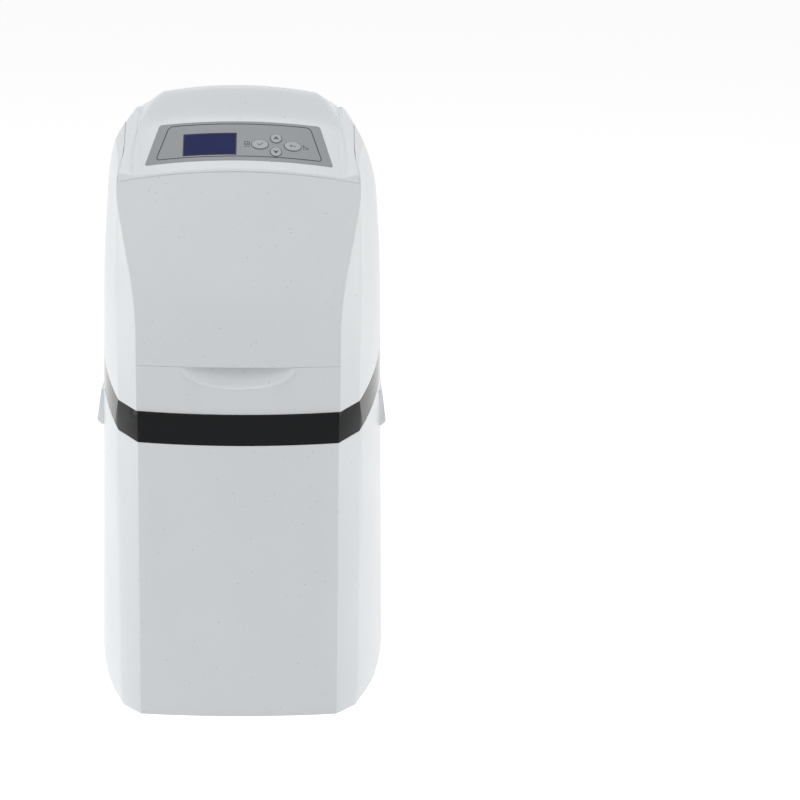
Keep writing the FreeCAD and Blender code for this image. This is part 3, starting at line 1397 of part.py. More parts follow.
def hose(name, points, radii, radius, bore):
    """A tube swept along bent wire."""
    solids = []
    for r in (radius, bore):
        wire = bent_wire(points, radii)
        start = (points[1] - points[0]).normalize()
        ring = Part.Wire(Part.makeCircle(r, points[0], start))
        solids.append(wire.makePipeShell([ring], True, False))
    feature = document.addObject("Part::Feature", name)
    feature.Shape = solids[0].cut(solids[1])
    print(name, "radii", radii, "volume", round(feature.Shape.Volume / 1000, 2))
    return feature


def make_brine_side():
    """Salt grid, brine well with its valve and float, and the line to the injector."""
    grid_form = cabinet_form("grid_form", S.tub_wall + 3)
    plate = common("grid_plate", grid_form, box("grid_slab", (-FAR, -FAR, S.grid_z),
                   (FAR, GRID_BACK, S.grid_z + S.grid_wall)))
    legs = [rod(f"grid_leg_{index}", 9, (x, y, S.tub_floor), S.grid_z - S.tub_floor)
            for index, (x, y) in enumerate(((-20, FRONT + 40), (90, FRONT + 60), (S.base_half_width - 42, GRID_BACK - 34),
                                            (-20, GRID_BACK - 34)))]
    slots = [box(f"grid_slot_{row}_{column}", (-40 + column * 50, FRONT + 40 + row * 22, 0),
                 (-4 + column * 50, FRONT + 46 + row * 22, 200)) for row in range(8) for column in range(3)]
    well_hole = rod("grid_well_hole", S.well_radius + 1, (WELL_X, WELL_Y, 0), 200)
    node("salt_grid", fuse("salt_grid_body", cut("grid_slotted", plate, well_hole, *slots), *legs))
    well = tube("well_tube", S.well_radius, S.well_radius - S.well_wall, (WELL_X, WELL_Y, S.tub_floor),
                S.well_high - S.tub_floor)
    line_hole = rod("well_line_hole", S.line_radius + 0.3, (WELL_X, WELL_Y + 20, S.line_z), 40, "y")
    inlets = [box(f"well_inlet_{index}", (WELL_X - 60, WELL_Y - 2, S.tub_floor + 8 + 12 * index),
                  (WELL_X + 60, WELL_Y + 2, S.tub_floor + 14 + 12 * index)) for index in range(3)]
    node("brine_well", cut("brine_well_body", well, line_hole, *inlets))
    top = rod("well_cap_top", S.well_cap_radius, (WELL_X, WELL_Y, S.well_high), 4)
    skirt = tube("well_cap_skirt", S.well_cap_radius, S.well_radius + 0.3, (WELL_X, WELL_Y, S.well_high - 12), 12)
    knob = rod("well_cap_knob", 9, (WELL_X, WELL_Y, S.well_high + 4), 8)
    node("brine_well_cap", fuse("brine_well_cap_body", top, skirt, knob))
    make_safety_valve()
    start_x = -S.injector_x - 14
    elbow = [
        rod("elbow_socket", 7, (start_x - 7.5, VESSEL_Y, S.injector_z), 7.5, "x"),
        rod("elbow_turn", 8, (start_x - 7.5, VESSEL_Y - 18, S.injector_z), 26, "y"),
    ]
    bores = [rod("elbow_bore", 4.2, (start_x - 8, VESSEL_Y, S.injector_z), 20, "x"),
             rod("elbow_line_bore", S.line_radius + 0.02, (start_x - 7.5, VESSEL_Y - 20, S.injector_z), 22, "y")]
    node("brine_elbow", cut("brine_elbow_body", fuse("elbow_blank", *elbow), *bores))
    route = [(start_x - 7.5, VESSEL_Y - 8, S.injector_z),
             (start_x - 7.5, VESSEL_Y - 92, S.injector_z),
             (WELL_X, WELL_Y + 76, S.line_z),
             (WELL_X, WELL_Y + S.safety_radius + 8, S.line_z)]
    points = [FreeCAD.Vector(*[as_size(value).value for value in point]) for point in route]
    node("brine_line", hose("brine_line_body", points, (30, 26), SIZES["line_radius"], SIZES["line_bore"]))


def make_safety_valve():
    """The valve in the brine well: housing, draw tube with a float stop, and the float that slides on it."""
    centre = (WELL_X, WELL_Y)
    housing = rod("safety_housing", S.safety_radius, (*centre, S.safety_low), S.safety_high - S.safety_low)
    nipple = rod("safety_nipple", 7.5, (WELL_X, WELL_Y, S.line_z), S.safety_radius + 14, "y")
    socket = rod("safety_socket", S.line_radius + 0.02, (WELL_X, WELL_Y + S.safety_radius + 8, S.line_z), 20, "y")
    collar = box("safety_hanger", (WELL_X - S.well_radius + S.well_wall, WELL_Y - 5, S.safety_high),
                 (WELL_X + S.well_radius - S.well_wall, WELL_Y + 5, S.safety_high + 4))
    collar_fit = common("safety_hanger_fit", collar, rod("safety_hanger_limit", S.well_radius - S.well_wall,
                        (*centre, S.safety_high), 10))
    node("safety_valve", cut("safety_valve_body", fuse("safety_blank", housing, nipple, collar_fit), socket))
    draw = tube("draw_pipe", S.draw_radius, S.draw_radius - 1.5, (*centre, S.tub_floor + 6),
                S.safety_low - S.tub_floor - 6)
    stop = tube("float_stop", S.draw_radius + 5, S.draw_radius, (*centre, S.float_low - 6), 6)
    cage = tube("draw_cage", 16, S.draw_radius, (*centre, S.tub_floor), 14)
    node("brine_draw_tube", fuse("brine_draw_tube_body", draw, stop, cage))
    node("well_float", tube("well_float_body", S.float_radius, S.draw_radius + S.float_clear,
                            (*centre, S.float_low), S.float_height))


def make_back_fittings():
    """Overflow elbow and its nut on the tub, power inlet grommet, hood screws."""
    x, z = OVERFLOW_X, S.overflow_z
    body = [
        rod("overflow_neck", S.overflow_radius, (x, BACK - 22, z), 22 + S.overflow_reach, "y"),
        rod("overflow_flange", S.overflow_radius + 6, (x, BACK, z), 3, "y"),
        rod("overflow_bend", S.overflow_radius + 1, (x, BACK + S.overflow_reach, z - 14), 15 + S.overflow_radius),
        rod("overflow_spigot", S.overflow_spigot, (x, BACK + S.overflow_reach, z - 34), 22),
    ]
    bores = [rod("overflow_bore_in", S.overflow_bore - 0.5, (x, BACK - 30, z), 30 + S.overflow_reach, "y"),
             rod("overflow_bore_down", S.overflow_bore, (x, BACK + S.overflow_reach, z - 44), 49)]
    node("overflow_elbow", cut("overflow_elbow_body", fuse("overflow_blank", *body), *bores))
    nut = pad("overflow_nut_form", "XZ_Plane", hexagon(14), 8, symmetric=False, reverse=True)
    put(nut, x, BACK - S.tub_wall - 8, z)
    hole = rod("overflow_nut_hole", S.overflow_radius + 0.05, (x, BACK - 40, z), 60, "y")
    node("overflow_nut", cut("overflow_nut_body", nut, hole))
    place = (INLET_X, BACK, S.inlet_z)
    sleeve = rod("inlet_sleeve", S.inlet_radius, (INLET_X, BACK - 16, S.inlet_z), 16, "y")
    rim = rod("inlet_rim", S.inlet_radius + 3, place, 2, "y")
    mouth = rod("inlet_mouth", S.inlet_radius - 3, (INLET_X, BACK - 12, S.inlet_z), 30, "y")
    pin = rod("inlet_pin", 1.2, (INLET_X, BACK - 13, S.inlet_z), 12, "y")
    node("power_inlet", fuse("power_inlet_body", cut("inlet_socket", fuse("inlet_blank", sleeve, rim), mouth), pin))
    shanks = hood_screw_rods("hood_screw_shank", S.screw_radius, -7, 7.5)
    heads = hood_screw_rods("hood_screw_head", S.screw_head, 0, 1.8)
    screws = [fuse(f"hood_screw_{index}", *pair) for index, pair in enumerate(zip(shanks, heads))]
    node("hood_screws", group("hood_screw_pair", *screws))


def write_parts():
    """Recompute, test every feature and sub-part, and write one file for each."""
    document.recompute()
    failed = [item.Name for item in document.Objects if "Invalid" in item.State or "Error" in item.State]
    if failed:
        raise RuntimeError(f"failed features: {failed}")
    for name, feature in parts.items():
        shape = feature.Shape
        if shape.isNull() or not shape.isValid() or not shape.Solids:
            raise RuntimeError(f"{name} has no valid solid")
    for name, feature in parts.items():
        feature.Shape.exportStep(f"parts/{name}.step")
        print(name, len(feature.Shape.Solids), round(feature.Shape.Volume / 1000, 2), "cm3")


make_brine_tank()
make_trim_band()
make_salt_lid()
make_control_hood()
make_keys()
make_display()
make_top_cover()
make_vessel()
make_valve()
make_drive()
make_meter()
make_brine_side()
make_back_fittings()
write_parts()
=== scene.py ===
"""Cabinet water softener: the visible shells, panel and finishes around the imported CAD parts."""
import math

import bmesh
import bpy
from mathutils import Matrix, Vector


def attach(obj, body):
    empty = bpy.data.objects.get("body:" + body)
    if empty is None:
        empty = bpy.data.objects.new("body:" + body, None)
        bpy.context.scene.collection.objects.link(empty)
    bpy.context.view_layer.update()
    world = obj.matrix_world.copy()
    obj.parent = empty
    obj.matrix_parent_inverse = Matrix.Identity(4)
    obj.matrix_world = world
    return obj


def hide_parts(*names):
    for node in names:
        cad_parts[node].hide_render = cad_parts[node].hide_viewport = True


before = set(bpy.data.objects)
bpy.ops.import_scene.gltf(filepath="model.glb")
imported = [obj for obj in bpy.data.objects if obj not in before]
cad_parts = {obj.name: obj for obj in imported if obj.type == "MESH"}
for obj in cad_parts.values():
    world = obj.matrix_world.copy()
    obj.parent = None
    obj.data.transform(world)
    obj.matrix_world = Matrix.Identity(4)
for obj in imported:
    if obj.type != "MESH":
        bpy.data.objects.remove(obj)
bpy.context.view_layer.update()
scene = bpy.context.scene
MM = 0.001

# Sizes of the control panel and the hood, in millimetres and degrees, as the CAD source has them
PANEL_Y = -221.0
PANEL_Z = 593.0
PANEL_TILT = math.radians(42.0)
PANEL_CROWN = 450.0
PANEL_HALF = 106.0
RIDGE_X = 114.0
RIDGE_RISE = 2.0
# The panel's crown is level beyond this
PANEL_REACH = 116.0
BOW_RADIUS = 730.77
FRONT = -250.0
VISOR_BEND_Z = 415.0
VISOR_BEND = 385.0
VISOR_LEAN = math.radians(11.5)
COVER_SETBACK = 1.5
CREST_Y = -157.0
CREST_Z = 671.0
ROOF_FALL = math.radians(8.25)
HUMP_FOOT = (-171.0, 640.0)
HUMP_LEAN = math.radians(72.0)
HUMP_BOW = 470.0
HUMP_HALF = 90.0
HUMP_SHOULDER_Z = 658.0
HUMP_SPREAD = math.tan(math.radians(36.0))
ARCH_TOP = 589.5
ARCH_RADIUS = 610.0
ARCH_GAP = 0.8
# Across the roof: crown radius, then how far out the hump, its flanks and the shelf beside them reach
ROOF_CROWN = 460.6
ROOF_TOP_HALF = 80.0
ROOF_FLANK_HALF = 106.0
ROOF_SHELF_HALF = 115.7
ROOF_TOP_DROP = 7.0
ROOF_SHELF_DROP = 23.0
# The shoulders' arc: how far its centre is past the middle and below the crest, and its radius
SHOULDER_PAST = 18.0
SHOULDER_DEPTH = 128.0
SHOULDER_RADIUS = 170.0
# Fillets between the hump's face and sides, between the hump and the panel, and along the roof's edge
HUMP_FILLET = 10.0
FOOT_FILLET = 9.0
CREST_FILLET = 5.0


# Colour and material helpers

def srgb(code):
    """A hex colour as the linear values that shaders take."""
    parts = [int(code[k:k + 2], 16) / 255 for k in (0, 2, 4)]
    return tuple(c / 12.92 if c <= 0.04045 else ((c + 0.055) / 1.055) ** 2.4 for c in parts) + (1.0,)


def add(tree, kind, values=None, links=None, **settings):
    """Add a node: settings on itself, values on its inputs, links into its inputs."""
    node = tree.nodes.new(kind)
    for name, value in settings.items():
        setattr(node, name, value)
    for name, value in (values or {}).items():
        node.inputs[name].default_value = value
    for name, source in (links or {}).items():
        tree.links.new(source, node.inputs[name])
    return node


def moulding(name, tone, shade, rough, rough_swing=0.04, cloud_mm=60.0, grain_mm=1.2, grain_depth=0.01,
             metallic=0.0, ior=1.5, specular=0.5, stretch=(1.0, 1.0, 1.0)):
    """A moulded, rubber or metal finish: two close tones in clouds, uneven gloss and a fine grain."""
    material = bpy.data.materials.new(name)
    material.use_nodes = True
    tree = material.node_tree
    shader = tree.nodes["Principled BSDF"]
    place = add(tree, "ShaderNodeTexCoord")
    pull = add(tree, "ShaderNodeMapping", {"Scale": stretch}, {"Vector": place.outputs["Object"]})
    cloud = add(tree, "ShaderNodeTexNoise", {"Scale": 1 / (cloud_mm * MM), "Detail": 3.0, "Roughness": 0.55},
                {"Vector": pull.outputs["Vector"]})
    blend = add(tree, "ShaderNodeMix", {"A": srgb(tone), "B": srgb(shade)}, data_type="RGBA")
    tree.links.new(cloud.outputs["Fac"], blend.inputs["Factor"])
    tree.links.new(blend.outputs["Result"], shader.inputs["Base Color"])
    gloss = add(tree, "ShaderNodeMapRange", {"To Min": rough - rough_swing, "To Max": rough + rough_swing},
                {"Value": cloud.outputs["Fac"]})
    tree.links.new(gloss.outputs["Result"], shader.inputs["Roughness"])
    grain = add(tree, "ShaderNodeTexNoise", {"Scale": 1 / (grain_mm * MM), "Detail": 2.0},
                {"Vector": pull.outputs["Vector"]})
    bump = add(tree, "ShaderNodeBump", {"Strength": 0.5, "Distance": grain_depth * MM},
               {"Height": grain.outputs["Fac"]})
    tree.links.new(bump.outputs["Normal"], shader.inputs["Normal"])
    shader.inputs["Metallic"].default_value = metallic
    shader.inputs["Specular IOR Level"].default_value = specular
    if not metallic:
        shader.inputs["IOR"].default_value = ior
    return material


def speckled_shell():
    """Polypropylene shell, moulded: soft white with sparse grey specks a millimetre or two across."""
    material = moulding("moulded white polypropylene", "ECEFF1", "E4E8EB", 0.34, 0.05, 90.0, 0.9, 0.012)
    tree = material.node_tree
    shader = tree.nodes["Principled BSDF"]
    place = next(node for node in tree.nodes if node.bl_idname == "ShaderNodeTexCoord")
    tone = next(node for node in tree.nodes if node.bl_idname == "ShaderNodeMix")
    last = tone.outputs["Result"]
    for spacing, radius, colour in ((7.0, 0.75, "9DA1A5"), (9.0, 0.6, "FFFFFF"), (5.0, 0.45, "B5B9BC")):
        cells = add(tree, "ShaderNodeTexVoronoi", {"Scale": 1 / (spacing * MM)},
                    {"Vector": place.outputs["Object"]})
        size = radius / spacing
        dot = add(tree, "ShaderNodeMapRange", {"From Min": size, "From Max": size * 0.4, "To Max": 0.85},
                  {"Value": cells.outputs["Distance"]})
        spread = add(tree, "ShaderNodeTexNoise", {"Scale": 1 / (spacing * 4 * MM)},
                     {"Vector": place.outputs["Object"]})
        patch = add(tree, "ShaderNodeMapRange", {"From Min": 0.45, "From Max": 0.6},
                    {"Value": spread.outputs["Fac"]})
        mask = add(tree, "ShaderNodeMath", operation="MULTIPLY")
        tree.links.new(dot.outputs["Result"], mask.inputs[0])
        tree.links.new(patch.outputs["Result"], mask.inputs[1])
        speck = add(tree, "ShaderNodeMix", {"B": srgb(colour)}, data_type="RGBA")
        tree.links.new(mask.outputs["Value"], speck.inputs["Factor"])
        tree.links.new(last, speck.inputs["A"])
        last = speck.outputs["Result"]
    tree.links.new(last, shader.inputs["Base Color"])
    return material


def wound_vessel():
    """Glass fibre wound on a liner: crossing bands of thread under a glossy resin."""
    material = moulding("filament wound glass fibre", "2F5F8C", "27507A", 0.22, 0.04, 40.0, 0.8, 0.01)
    tree = material.node_tree
    shader = tree.nodes["Principled BSDF"]
    place = next(node for node in tree.nodes if node.bl_idname == "ShaderNodeTexCoord")
    tone = next(node for node in tree.nodes if node.bl_idname == "ShaderNodeMix")
    heights = []
    for turn in (32.0, -32.0):
        lean = add(tree, "ShaderNodeMapping", {"Rotation": (0.0, math.radians(turn), 0.0)},
                   {"Vector": place.outputs["Object"]})
        bands = add(tree, "ShaderNodeTexWave", {"Scale": 18.0, "Distortion": 0.6, "Detail": 1.0},
                    {"Vector": lean.outputs["Vector"]}, bands_direction="Z")
        heights.append(bands.outputs["Fac"])
    weave = add(tree, "ShaderNodeMath", operation="MAXIMUM")
    tree.links.new(heights[0], weave.inputs[0])
    tree.links.new(heights[1], weave.inputs[1])
    wrap = add(tree, "ShaderNodeMix", {"B": srgb("3F7DB0")}, data_type="RGBA")
    tree.links.new(tone.outputs["Result"], wrap.inputs["A"])
    tree.links.new(weave.outputs["Value"], wrap.inputs["Factor"])
    tree.links.new(wrap.outputs["Result"], shader.inputs["Base Color"])
    bump = next(node for node in tree.nodes if node.bl_idname == "ShaderNodeBump")
    tree.links.new(weave.outputs["Value"], bump.inputs["Height"])
    bump.inputs["Distance"].default_value = 0.4 * MM
    return material


shell_white = speckled_shell()
vessel_blue = wound_vessel()
# Gloss ABS trim: near black with a hard clear shine that shows most where the band turns away
trim_black = moulding("gloss black ABS", "04070B", "030508", 0.1, 0.02, 70.0, 1.5, 0.004, specular=0.16)
# Screen-printed polyester film: flat silver grey
label_grey = moulding("printed polyester film", "969B9F", "8F9498", 0.38, 0.03, 50.0, 0.5, 0.004,
                      specular=0.6)
line_dark = moulding("dark printing ink", "3C3E42", "36383C", 0.5, 0.03, 20.0, 0.5, 0.003)
ink_soft = moulding("grey printing ink", "7C7F83", "75787C", 0.5, 0.03, 20.0, 0.5, 0.003)
# Acrylic pane over the unlit display: deep navy seen through a low-glare face; the clouding between its two
# navy tones is painted reflection
pane_navy = moulding("tinted acrylic pane", "20275C", "191F50", 0.2, 0.03, 24.0, 2.0, 0.002,
                     ior=1.49, specular=0.12)
# Painted shade: a near-black ring round the display pane stands for the shadow down in its recess
pane_painted_shade = moulding("painted shade round the pane", "0B0C10", "090A0E", 0.2, 0.03, 20.0, 1.0, 0.002)
# Silicone-coated key caps: light grey, almost matte
key_grey = moulding("moulded key cap", "B3B8BC", "ACB1B5", 0.45, 0.04, 12.0, 0.6, 0.006)
board_green = moulding("solder mask", "1E5B38", "184D2F", 0.35, 0.05, 14.0, 1.0, 0.02)
display_grey = moulding("display module frame", "7B7F80", "6C7072", 0.4, 0.05, 20.0, 1.0, 0.01)
seal_black = moulding("nitrile rubber", "1B1C1D", "141516", 0.62, 0.06, 15.0, 0.7, 0.02)
mat_grey = moulding("silicone rubber", "74777A", "6A6D70", 0.6, 0.05, 15.0, 0.7, 0.02)
tray_black = moulding("black ABS", "1F2022", "191A1C", 0.5, 0.06, 40.0, 0.8, 0.02)
boot_black = moulding("roto-moulded polyethylene", "232426", "1C1D1F", 0.58, 0.06, 50.0, 1.5, 0.05)
pipe_white = moulding("extruded ABS pipe", "D8D9D4", "CFD0CB", 0.4, 0.05, 40.0, 0.8, 0.01,
                      stretch=(1, 1, 0.1))
strainer_cream = moulding("moulded polypropylene strainer", "D9D5C6", "CEC9B9", 0.45, 0.05, 25.0, 0.8, 0.02)
resin_amber = moulding("ion exchange beads", "8A4A17", "6E380F", 0.5, 0.1, 6.0, 0.8, 0.5)
valve_black = moulding("glass-filled noryl", "262729", "1E1F21", 0.42, 0.07, 30.0, 0.6, 0.04)
spacer_cream = moulding("moulded acetal", "D4D2C8", "C9C6BA", 0.36, 0.05, 18.0, 0.8, 0.01)
piston_grey = moulding("coated piston", "3A3B3D", "303133", 0.3, 0.05, 12.0, 0.6, 0.01)
turbine_blue = moulding("moulded blue acetal", "3F6DA3", "365F91", 0.36, 0.05, 8.0, 0.6, 0.01)
grid_grey = moulding("moulded grey polypropylene", "7C8186", "71767B", 0.5, 0.06, 45.0, 0.9, 0.03)
well_white = moulding("extruded PVC tube", "DCDDDC", "D2D4D3", 0.4, 0.05, 60.0, 0.8, 0.01,
                      stretch=(1, 1, 0.1))
foam_cream = moulding("closed cell foam", "DAD5C4", "CDC7B4", 0.7, 0.05, 8.0, 1.2, 0.1)
line_milky = moulding("polyethylene tube", "DADCDA", "CFD2D0", 0.35, 0.05, 30.0, 0.8, 0.01)
fitting_grey = moulding("moulded grey acetal", "5B5E61", "505356", 0.42, 0.05, 20.0, 0.7, 0.02)
# Zinc-plated sheet and turned steel: fine brushing along the part
motor_zinc = moulding("zinc-plated steel can", "A9ABAD", "9B9DA0", 0.32, 0.08, 20.0, 0.5, 0.01, metallic=1.0)
pin_steel = moulding("turned stainless steel", "B9BBBD", "AAACAF", 0.26, 0.06, 10.0, 0.3, 0.005, metallic=1.0,
                     stretch=(0.1, 1, 1))

NODE_FINISH = {
    "lid_hinge_pins": pin_steel, "lcd_module": display_grey, "control_board": board_green,
    "keypad_mat": mat_grey, "board_tray": tray_black, "pressure_tank": vessel_blue, "tank_boot": boot_black,
    "riser_tube": pipe_white, "bottom_strainer": strainer_cream, "top_strainer": strainer_cream,
    "resin_bed": resin_amber, "neck_seal": seal_black, "valve_body": valve_black, "piston_seals": seal_black,
    "seal_spacers": spacer_cream, "piston": piston_grey, "end_plug": valve_black, "injector_cap": valve_black,
    "injector_screws": pin_steel, "drain_fitting": fitting_grey, "drive_gear": spacer_cream,
    "drive_pinion": spacer_cream, "drive_motor": motor_zinc, "drive_bracket": valve_black,
    "flow_turbine": turbine_blue, "turbine_cage": spacer_cream, "salt_grid": grid_grey,
    "brine_well": well_white, "brine_well_cap": well_white, "safety_valve": fitting_grey,
    "brine_draw_tube": well_white, "well_float": foam_cream, "brine_elbow": fitting_grey,
    "brine_line": line_milky,
    "overflow_elbow": fitting_grey, "overflow_nut": fitting_grey, "power_inlet": tray_black,
    "hood_screws": pin_steel, "panel_label": label_grey, "lcd_window": pane_navy, "key_select": key_grey,
    "key_up": key_grey, "key_down": key_grey, "key_escape": key_grey, "trim_band": trim_black,
    "brine_tank": shell_white, "salt_lid": shell_white, "top_cover": shell_white, "control_hood": shell_white,
}
for node_name, node_finish in NODE_FINISH.items():
    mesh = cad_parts[node_name].data
    mesh.materials.clear()
    mesh.materials.append(node_finish)


# Piece helpers

# Loose mesh points closer than this are one, in millimetres, and faces flatter than this are joined
MERGE_REACH = 0.005
FLAT_ANGLE = math.radians(0.2)
# Edges sharper than this get the small moulded radius
SOFTENED_CREASE = math.radians(25.0)


def piece(name, shape, finish, body, stands_for=(), smooth_angle=35.0):
    """Make an object of a finished bmesh, give it its finish and set what it rides on and stands for."""
    mesh = bpy.data.meshes.new(name)
    shape.to_mesh(mesh)
    shape.free()
    item = bpy.data.objects.new(name, mesh)
    scene.collection.objects.link(item)
    mesh.materials.append(finish)
    mesh.shade_smooth()
    mesh.set_sharp_from_angle(angle=math.radians(smooth_angle))
    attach(item, body)
    if stands_for:
        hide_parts(*stands_for)
    return item


def merged_copy(node):
    """The CAD node's mesh with its loose triangles merged and its flat faces joined up."""
    shape = bmesh.new()
    shape.from_mesh(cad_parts[node].data)
    bmesh.ops.remove_doubles(shape, verts=shape.verts, dist=MERGE_REACH * MM)
    bmesh.ops.dissolve_limit(shape, angle_limit=FLAT_ANGLE, verts=shape.verts, edges=shape.edges)
    return shape


def softened(node, name, finish, width, body="cabinet", reshape=None):
    """A merged copy of a CAD node with a small moulded radius on its edges, standing for that node."""
    shape = merged_copy(node)
    if reshape:
        reshape(shape)
    item = piece(name, shape, finish, body, (node,), 30.0)
    bevel = item.modifiers.new("moulded_radius", "BEVEL")
    bevel.width = width * MM
    bevel.segments = 3
    bevel.limit_method = "ANGLE"
    bevel.angle_limit = SOFTENED_CREASE
    bevel.use_clamp_overlap = True


# The panel's own frame

def panel_drop(x):
    """How far the crowned panel has fallen at a distance x from the middle."""
    return PANEL_CROWN - math.sqrt(PANEL_CROWN ** 2 - x ** 2)


def on_panel(x, s, n):
    """A point across, up the slope and out of the crowned panel, in metres."""
    out = n - panel_drop(x)
    return Vector((x, PANEL_Y + s * math.cos(PANEL_TILT) - out * math.sin(PANEL_TILT),
                   PANEL_Z + s * math.sin(PANEL_TILT) + out * math.cos(PANEL_TILT))) * MM


def lay_on_panel(shape):
    """Move a flat shape drawn in x, s and n onto the panel."""
    for vert in shape.verts:
        vert.co = on_panel(*vert.co)


# The hood's outer surface as a height over the plan

def smooth_low(a, b, reach):
    """The lower of two heights, with a fillet where they cross."""
    share = max(reach - abs(a - b), 0.0) / reach
    return min(a, b) - share * share * reach / 4


def smooth_high(a, b, reach):
    """The higher of two heights, with a fillet where they cross."""
    return -smooth_low(-a, -b, reach)


def bow(x, radius):
    """How far an arc has fallen away at a distance x from its middle."""
    return radius - math.sqrt(radius * radius - x * x)


def visor_y(x, z):
    """Where the leaning front surface is, above its bend."""
    top = VISOR_BEND_Z + VISOR_BEND * math.sin(VISOR_LEAN)
    back = COVER_SETBACK + VISOR_BEND * (1 - math.cos(VISOR_LEAN)) + (z - top) * math.tan(VISOR_LEAN)
    return FRONT + back + bow(x, BOW_RADIUS - back)


def roof_height(x, y):
    """Crowned hump, flanks and shoulders, falling to the back."""
    x = abs(x)
    if x < ROOF_TOP_HALF:
        drop = bow(x, ROOF_CROWN)
    elif x < ROOF_FLANK_HALF:
        fall = ROOF_SHELF_DROP - ROOF_TOP_DROP
        drop = ROOF_TOP_DROP + (x - ROOF_TOP_HALF) * fall / (ROOF_FLANK_HALF - ROOF_TOP_HALF)
    elif x < ROOF_SHELF_HALF:
        drop = ROOF_SHELF_DROP
    else:
        drop = SHOULDER_DEPTH - math.sqrt(SHOULDER_RADIUS ** 2 - (x + SHOULDER_PAST) ** 2)
    return CREST_Z - (y - CREST_Y) * math.tan(ROOF_FALL) - drop / math.cos(ROOF_FALL)


def trough_height(x, y):
    """The sloping panel and the soft ridge at each side of it."""
    x = abs(x)
    floor = -panel_drop(min(x, PANEL_REACH))
    edge = RIDGE_RISE - panel_drop(PANEL_HALF)
    share = ease(PANEL_HALF, RIDGE_X, x)
    rise = floor * (1 - share) + edge * share
    return PANEL_Z + (y - PANEL_Y) * math.tan(PANEL_TILT) + rise / math.cos(PANEL_TILT)


def hump_height(x, y):
    """The raised middle: a leaning bowed face and two sloping sides."""
    face = HUMP_FOOT[1] + (y - HUMP_FOOT[0] - bow(x, HUMP_BOW)) * math.tan(HUMP_LEAN)
    side = HUMP_SHOULDER_Z + (HUMP_HALF - abs(x)) / HUMP_SPREAD
    return smooth_low(face, side, HUMP_FILLET)


def hood_height(x, y):
    """Panel and hump joined by a fillet, cut off by the roof above them."""
    raised = smooth_high(trough_height(x, y), hump_height(x, y), FOOT_FILLET)
    return smooth_low(roof_height(x, y), raised, CREST_FILLET)


def arch_z(x, gap):
    """The lid's arched top edge, and the hood's lower edge above it."""
    return ARCH_TOP + gap - bow(x, ARCH_RADIUS)


def ease(low, high, value):
    """0 below low, 1 above high, and smooth between."""
    share = min(max((value - low) / (high - low), 0.0), 1.0)
    return share * share * (3 - 2 * share)


# How far the shoulders draw in, over which heights, and from what distance off the middle
DRAW_IN = 7.0
DRAW_IN_LEVELS = (440.0, 630.0)
DRAW_IN_START = 122.0
DRAW_IN_SPREAD = 18.0


def draw_in(point):
    """The shoulders draw in towards the roof, as the photograph's outline does."""
    x, z = abs(point.x) / MM, point.z / MM
    start = DRAW_IN_START - 22.0 * ease(575.0, 635.0, z)
    inward = DRAW_IN * ease(*DRAW_IN_LEVELS, z) * ease(0.0, DRAW_IN_SPREAD, x - start)
    point.x -= math.copysign(inward * MM, point.x)


HOOD_HALF = 126.8
HOOD_BACK = 212.0
HOOD_WALL = 2.6
HOOD_COLUMNS = 120
# Only what is in front of this belongs to the lip
LIP_ZONE_Y = -190.0
# The lip above the lid, from its lower edge up: how far it stands out, and height above the hood's edge
LIP = ((0.1, -0.6), (0.25, -0.4), (0.4, 0.1), (0.45, 0.8), (0.35, 1.7), (0.05, 2.5))
# Middle across and up the slope, width and height
DISPLAY = (-30.6, 32.8, 56.0, 29.4)
# Middle across and up the slope, half length and half height
KEYS = {
    "key_select": (21.7, 32.2, 8.5, 5.8), "key_up": (38.3, 41.1, 5.6, 5.6),
    "key_down": (38.3, 23.3, 5.6, 5.6), "key_escape": (55.7, 32.2, 8.5, 5.8),
}
KEY_BODY = {
    "key_select": "select_key", "key_up": "up_key", "key_down": "down_key", "key_escape": "escape_key",
}
DISPLAY_GAP = 0.2
KEY_GAP = 0.3


def hood_rows():
    """Distances behind the lip, close together where the surface turns."""
    rows = [0.3, 0.8, 1.5, 2.5, 4.0, 6.0]
    rows += [8.0 + 35.0 * k / 18 for k in range(19)]
    rows += [43.0 + 27.0 * k / 30 for k in range(1, 31)]
    rows += [70.0 + 12.0 * k / 5 for k in range(1, 6)]
    back = HOOD_BACK - PANEL_Y
    rows += [82.0 + (back - 82.0) * k / 30 for k in range(1, 31)]
    return rows


def cut_opening(shape, low_x, high_x, low_s, high_s):
    """Cut a four-sided opening through the sheet, square to the panel."""
    up = Vector((0.0, math.cos(PANEL_TILT), math.sin(PANEL_TILT)))
    out = Vector((0.0, -math.sin(PANEL_TILT), math.cos(PANEL_TILT)))
    start = on_panel(0.0, 0.0, 0.0)
    across = Vector((1.0, 0.0, 0.0))

    def seen(face):
        offset = face.calc_center_median() - start
        return offset.dot(across) / MM, offset.dot(up) / MM, offset.dot(out) / MM

    def near():
        faces = []
        for face in shape.faces:
            x, s, n = seen(face)
            if low_x - 4 < x < high_x + 4 and low_s - 4 < s < high_s + 4 and abs(n) < 30:
                faces.append(face)
        parts = set(faces)
        for face in faces:
            parts.update(face.edges)
            parts.update(face.verts)
        return list(parts)

    for place, normal in ((low_x, across), (high_x, across), (low_s, up), (high_s, up)):
        spot = start + normal * place * MM
        bmesh.ops.bisect_plane(shape, geom=near(), dist=1e-7, plane_co=spot, plane_no=normal)
    gone = []
    for face in shape.faces:
        x, s, n = seen(face)
        if low_x < x < high_x and low_s < s < high_s and abs(n) < 30:
            gone.append(face)
    bmesh.ops.delete(shape, geom=gone, context="FACES")


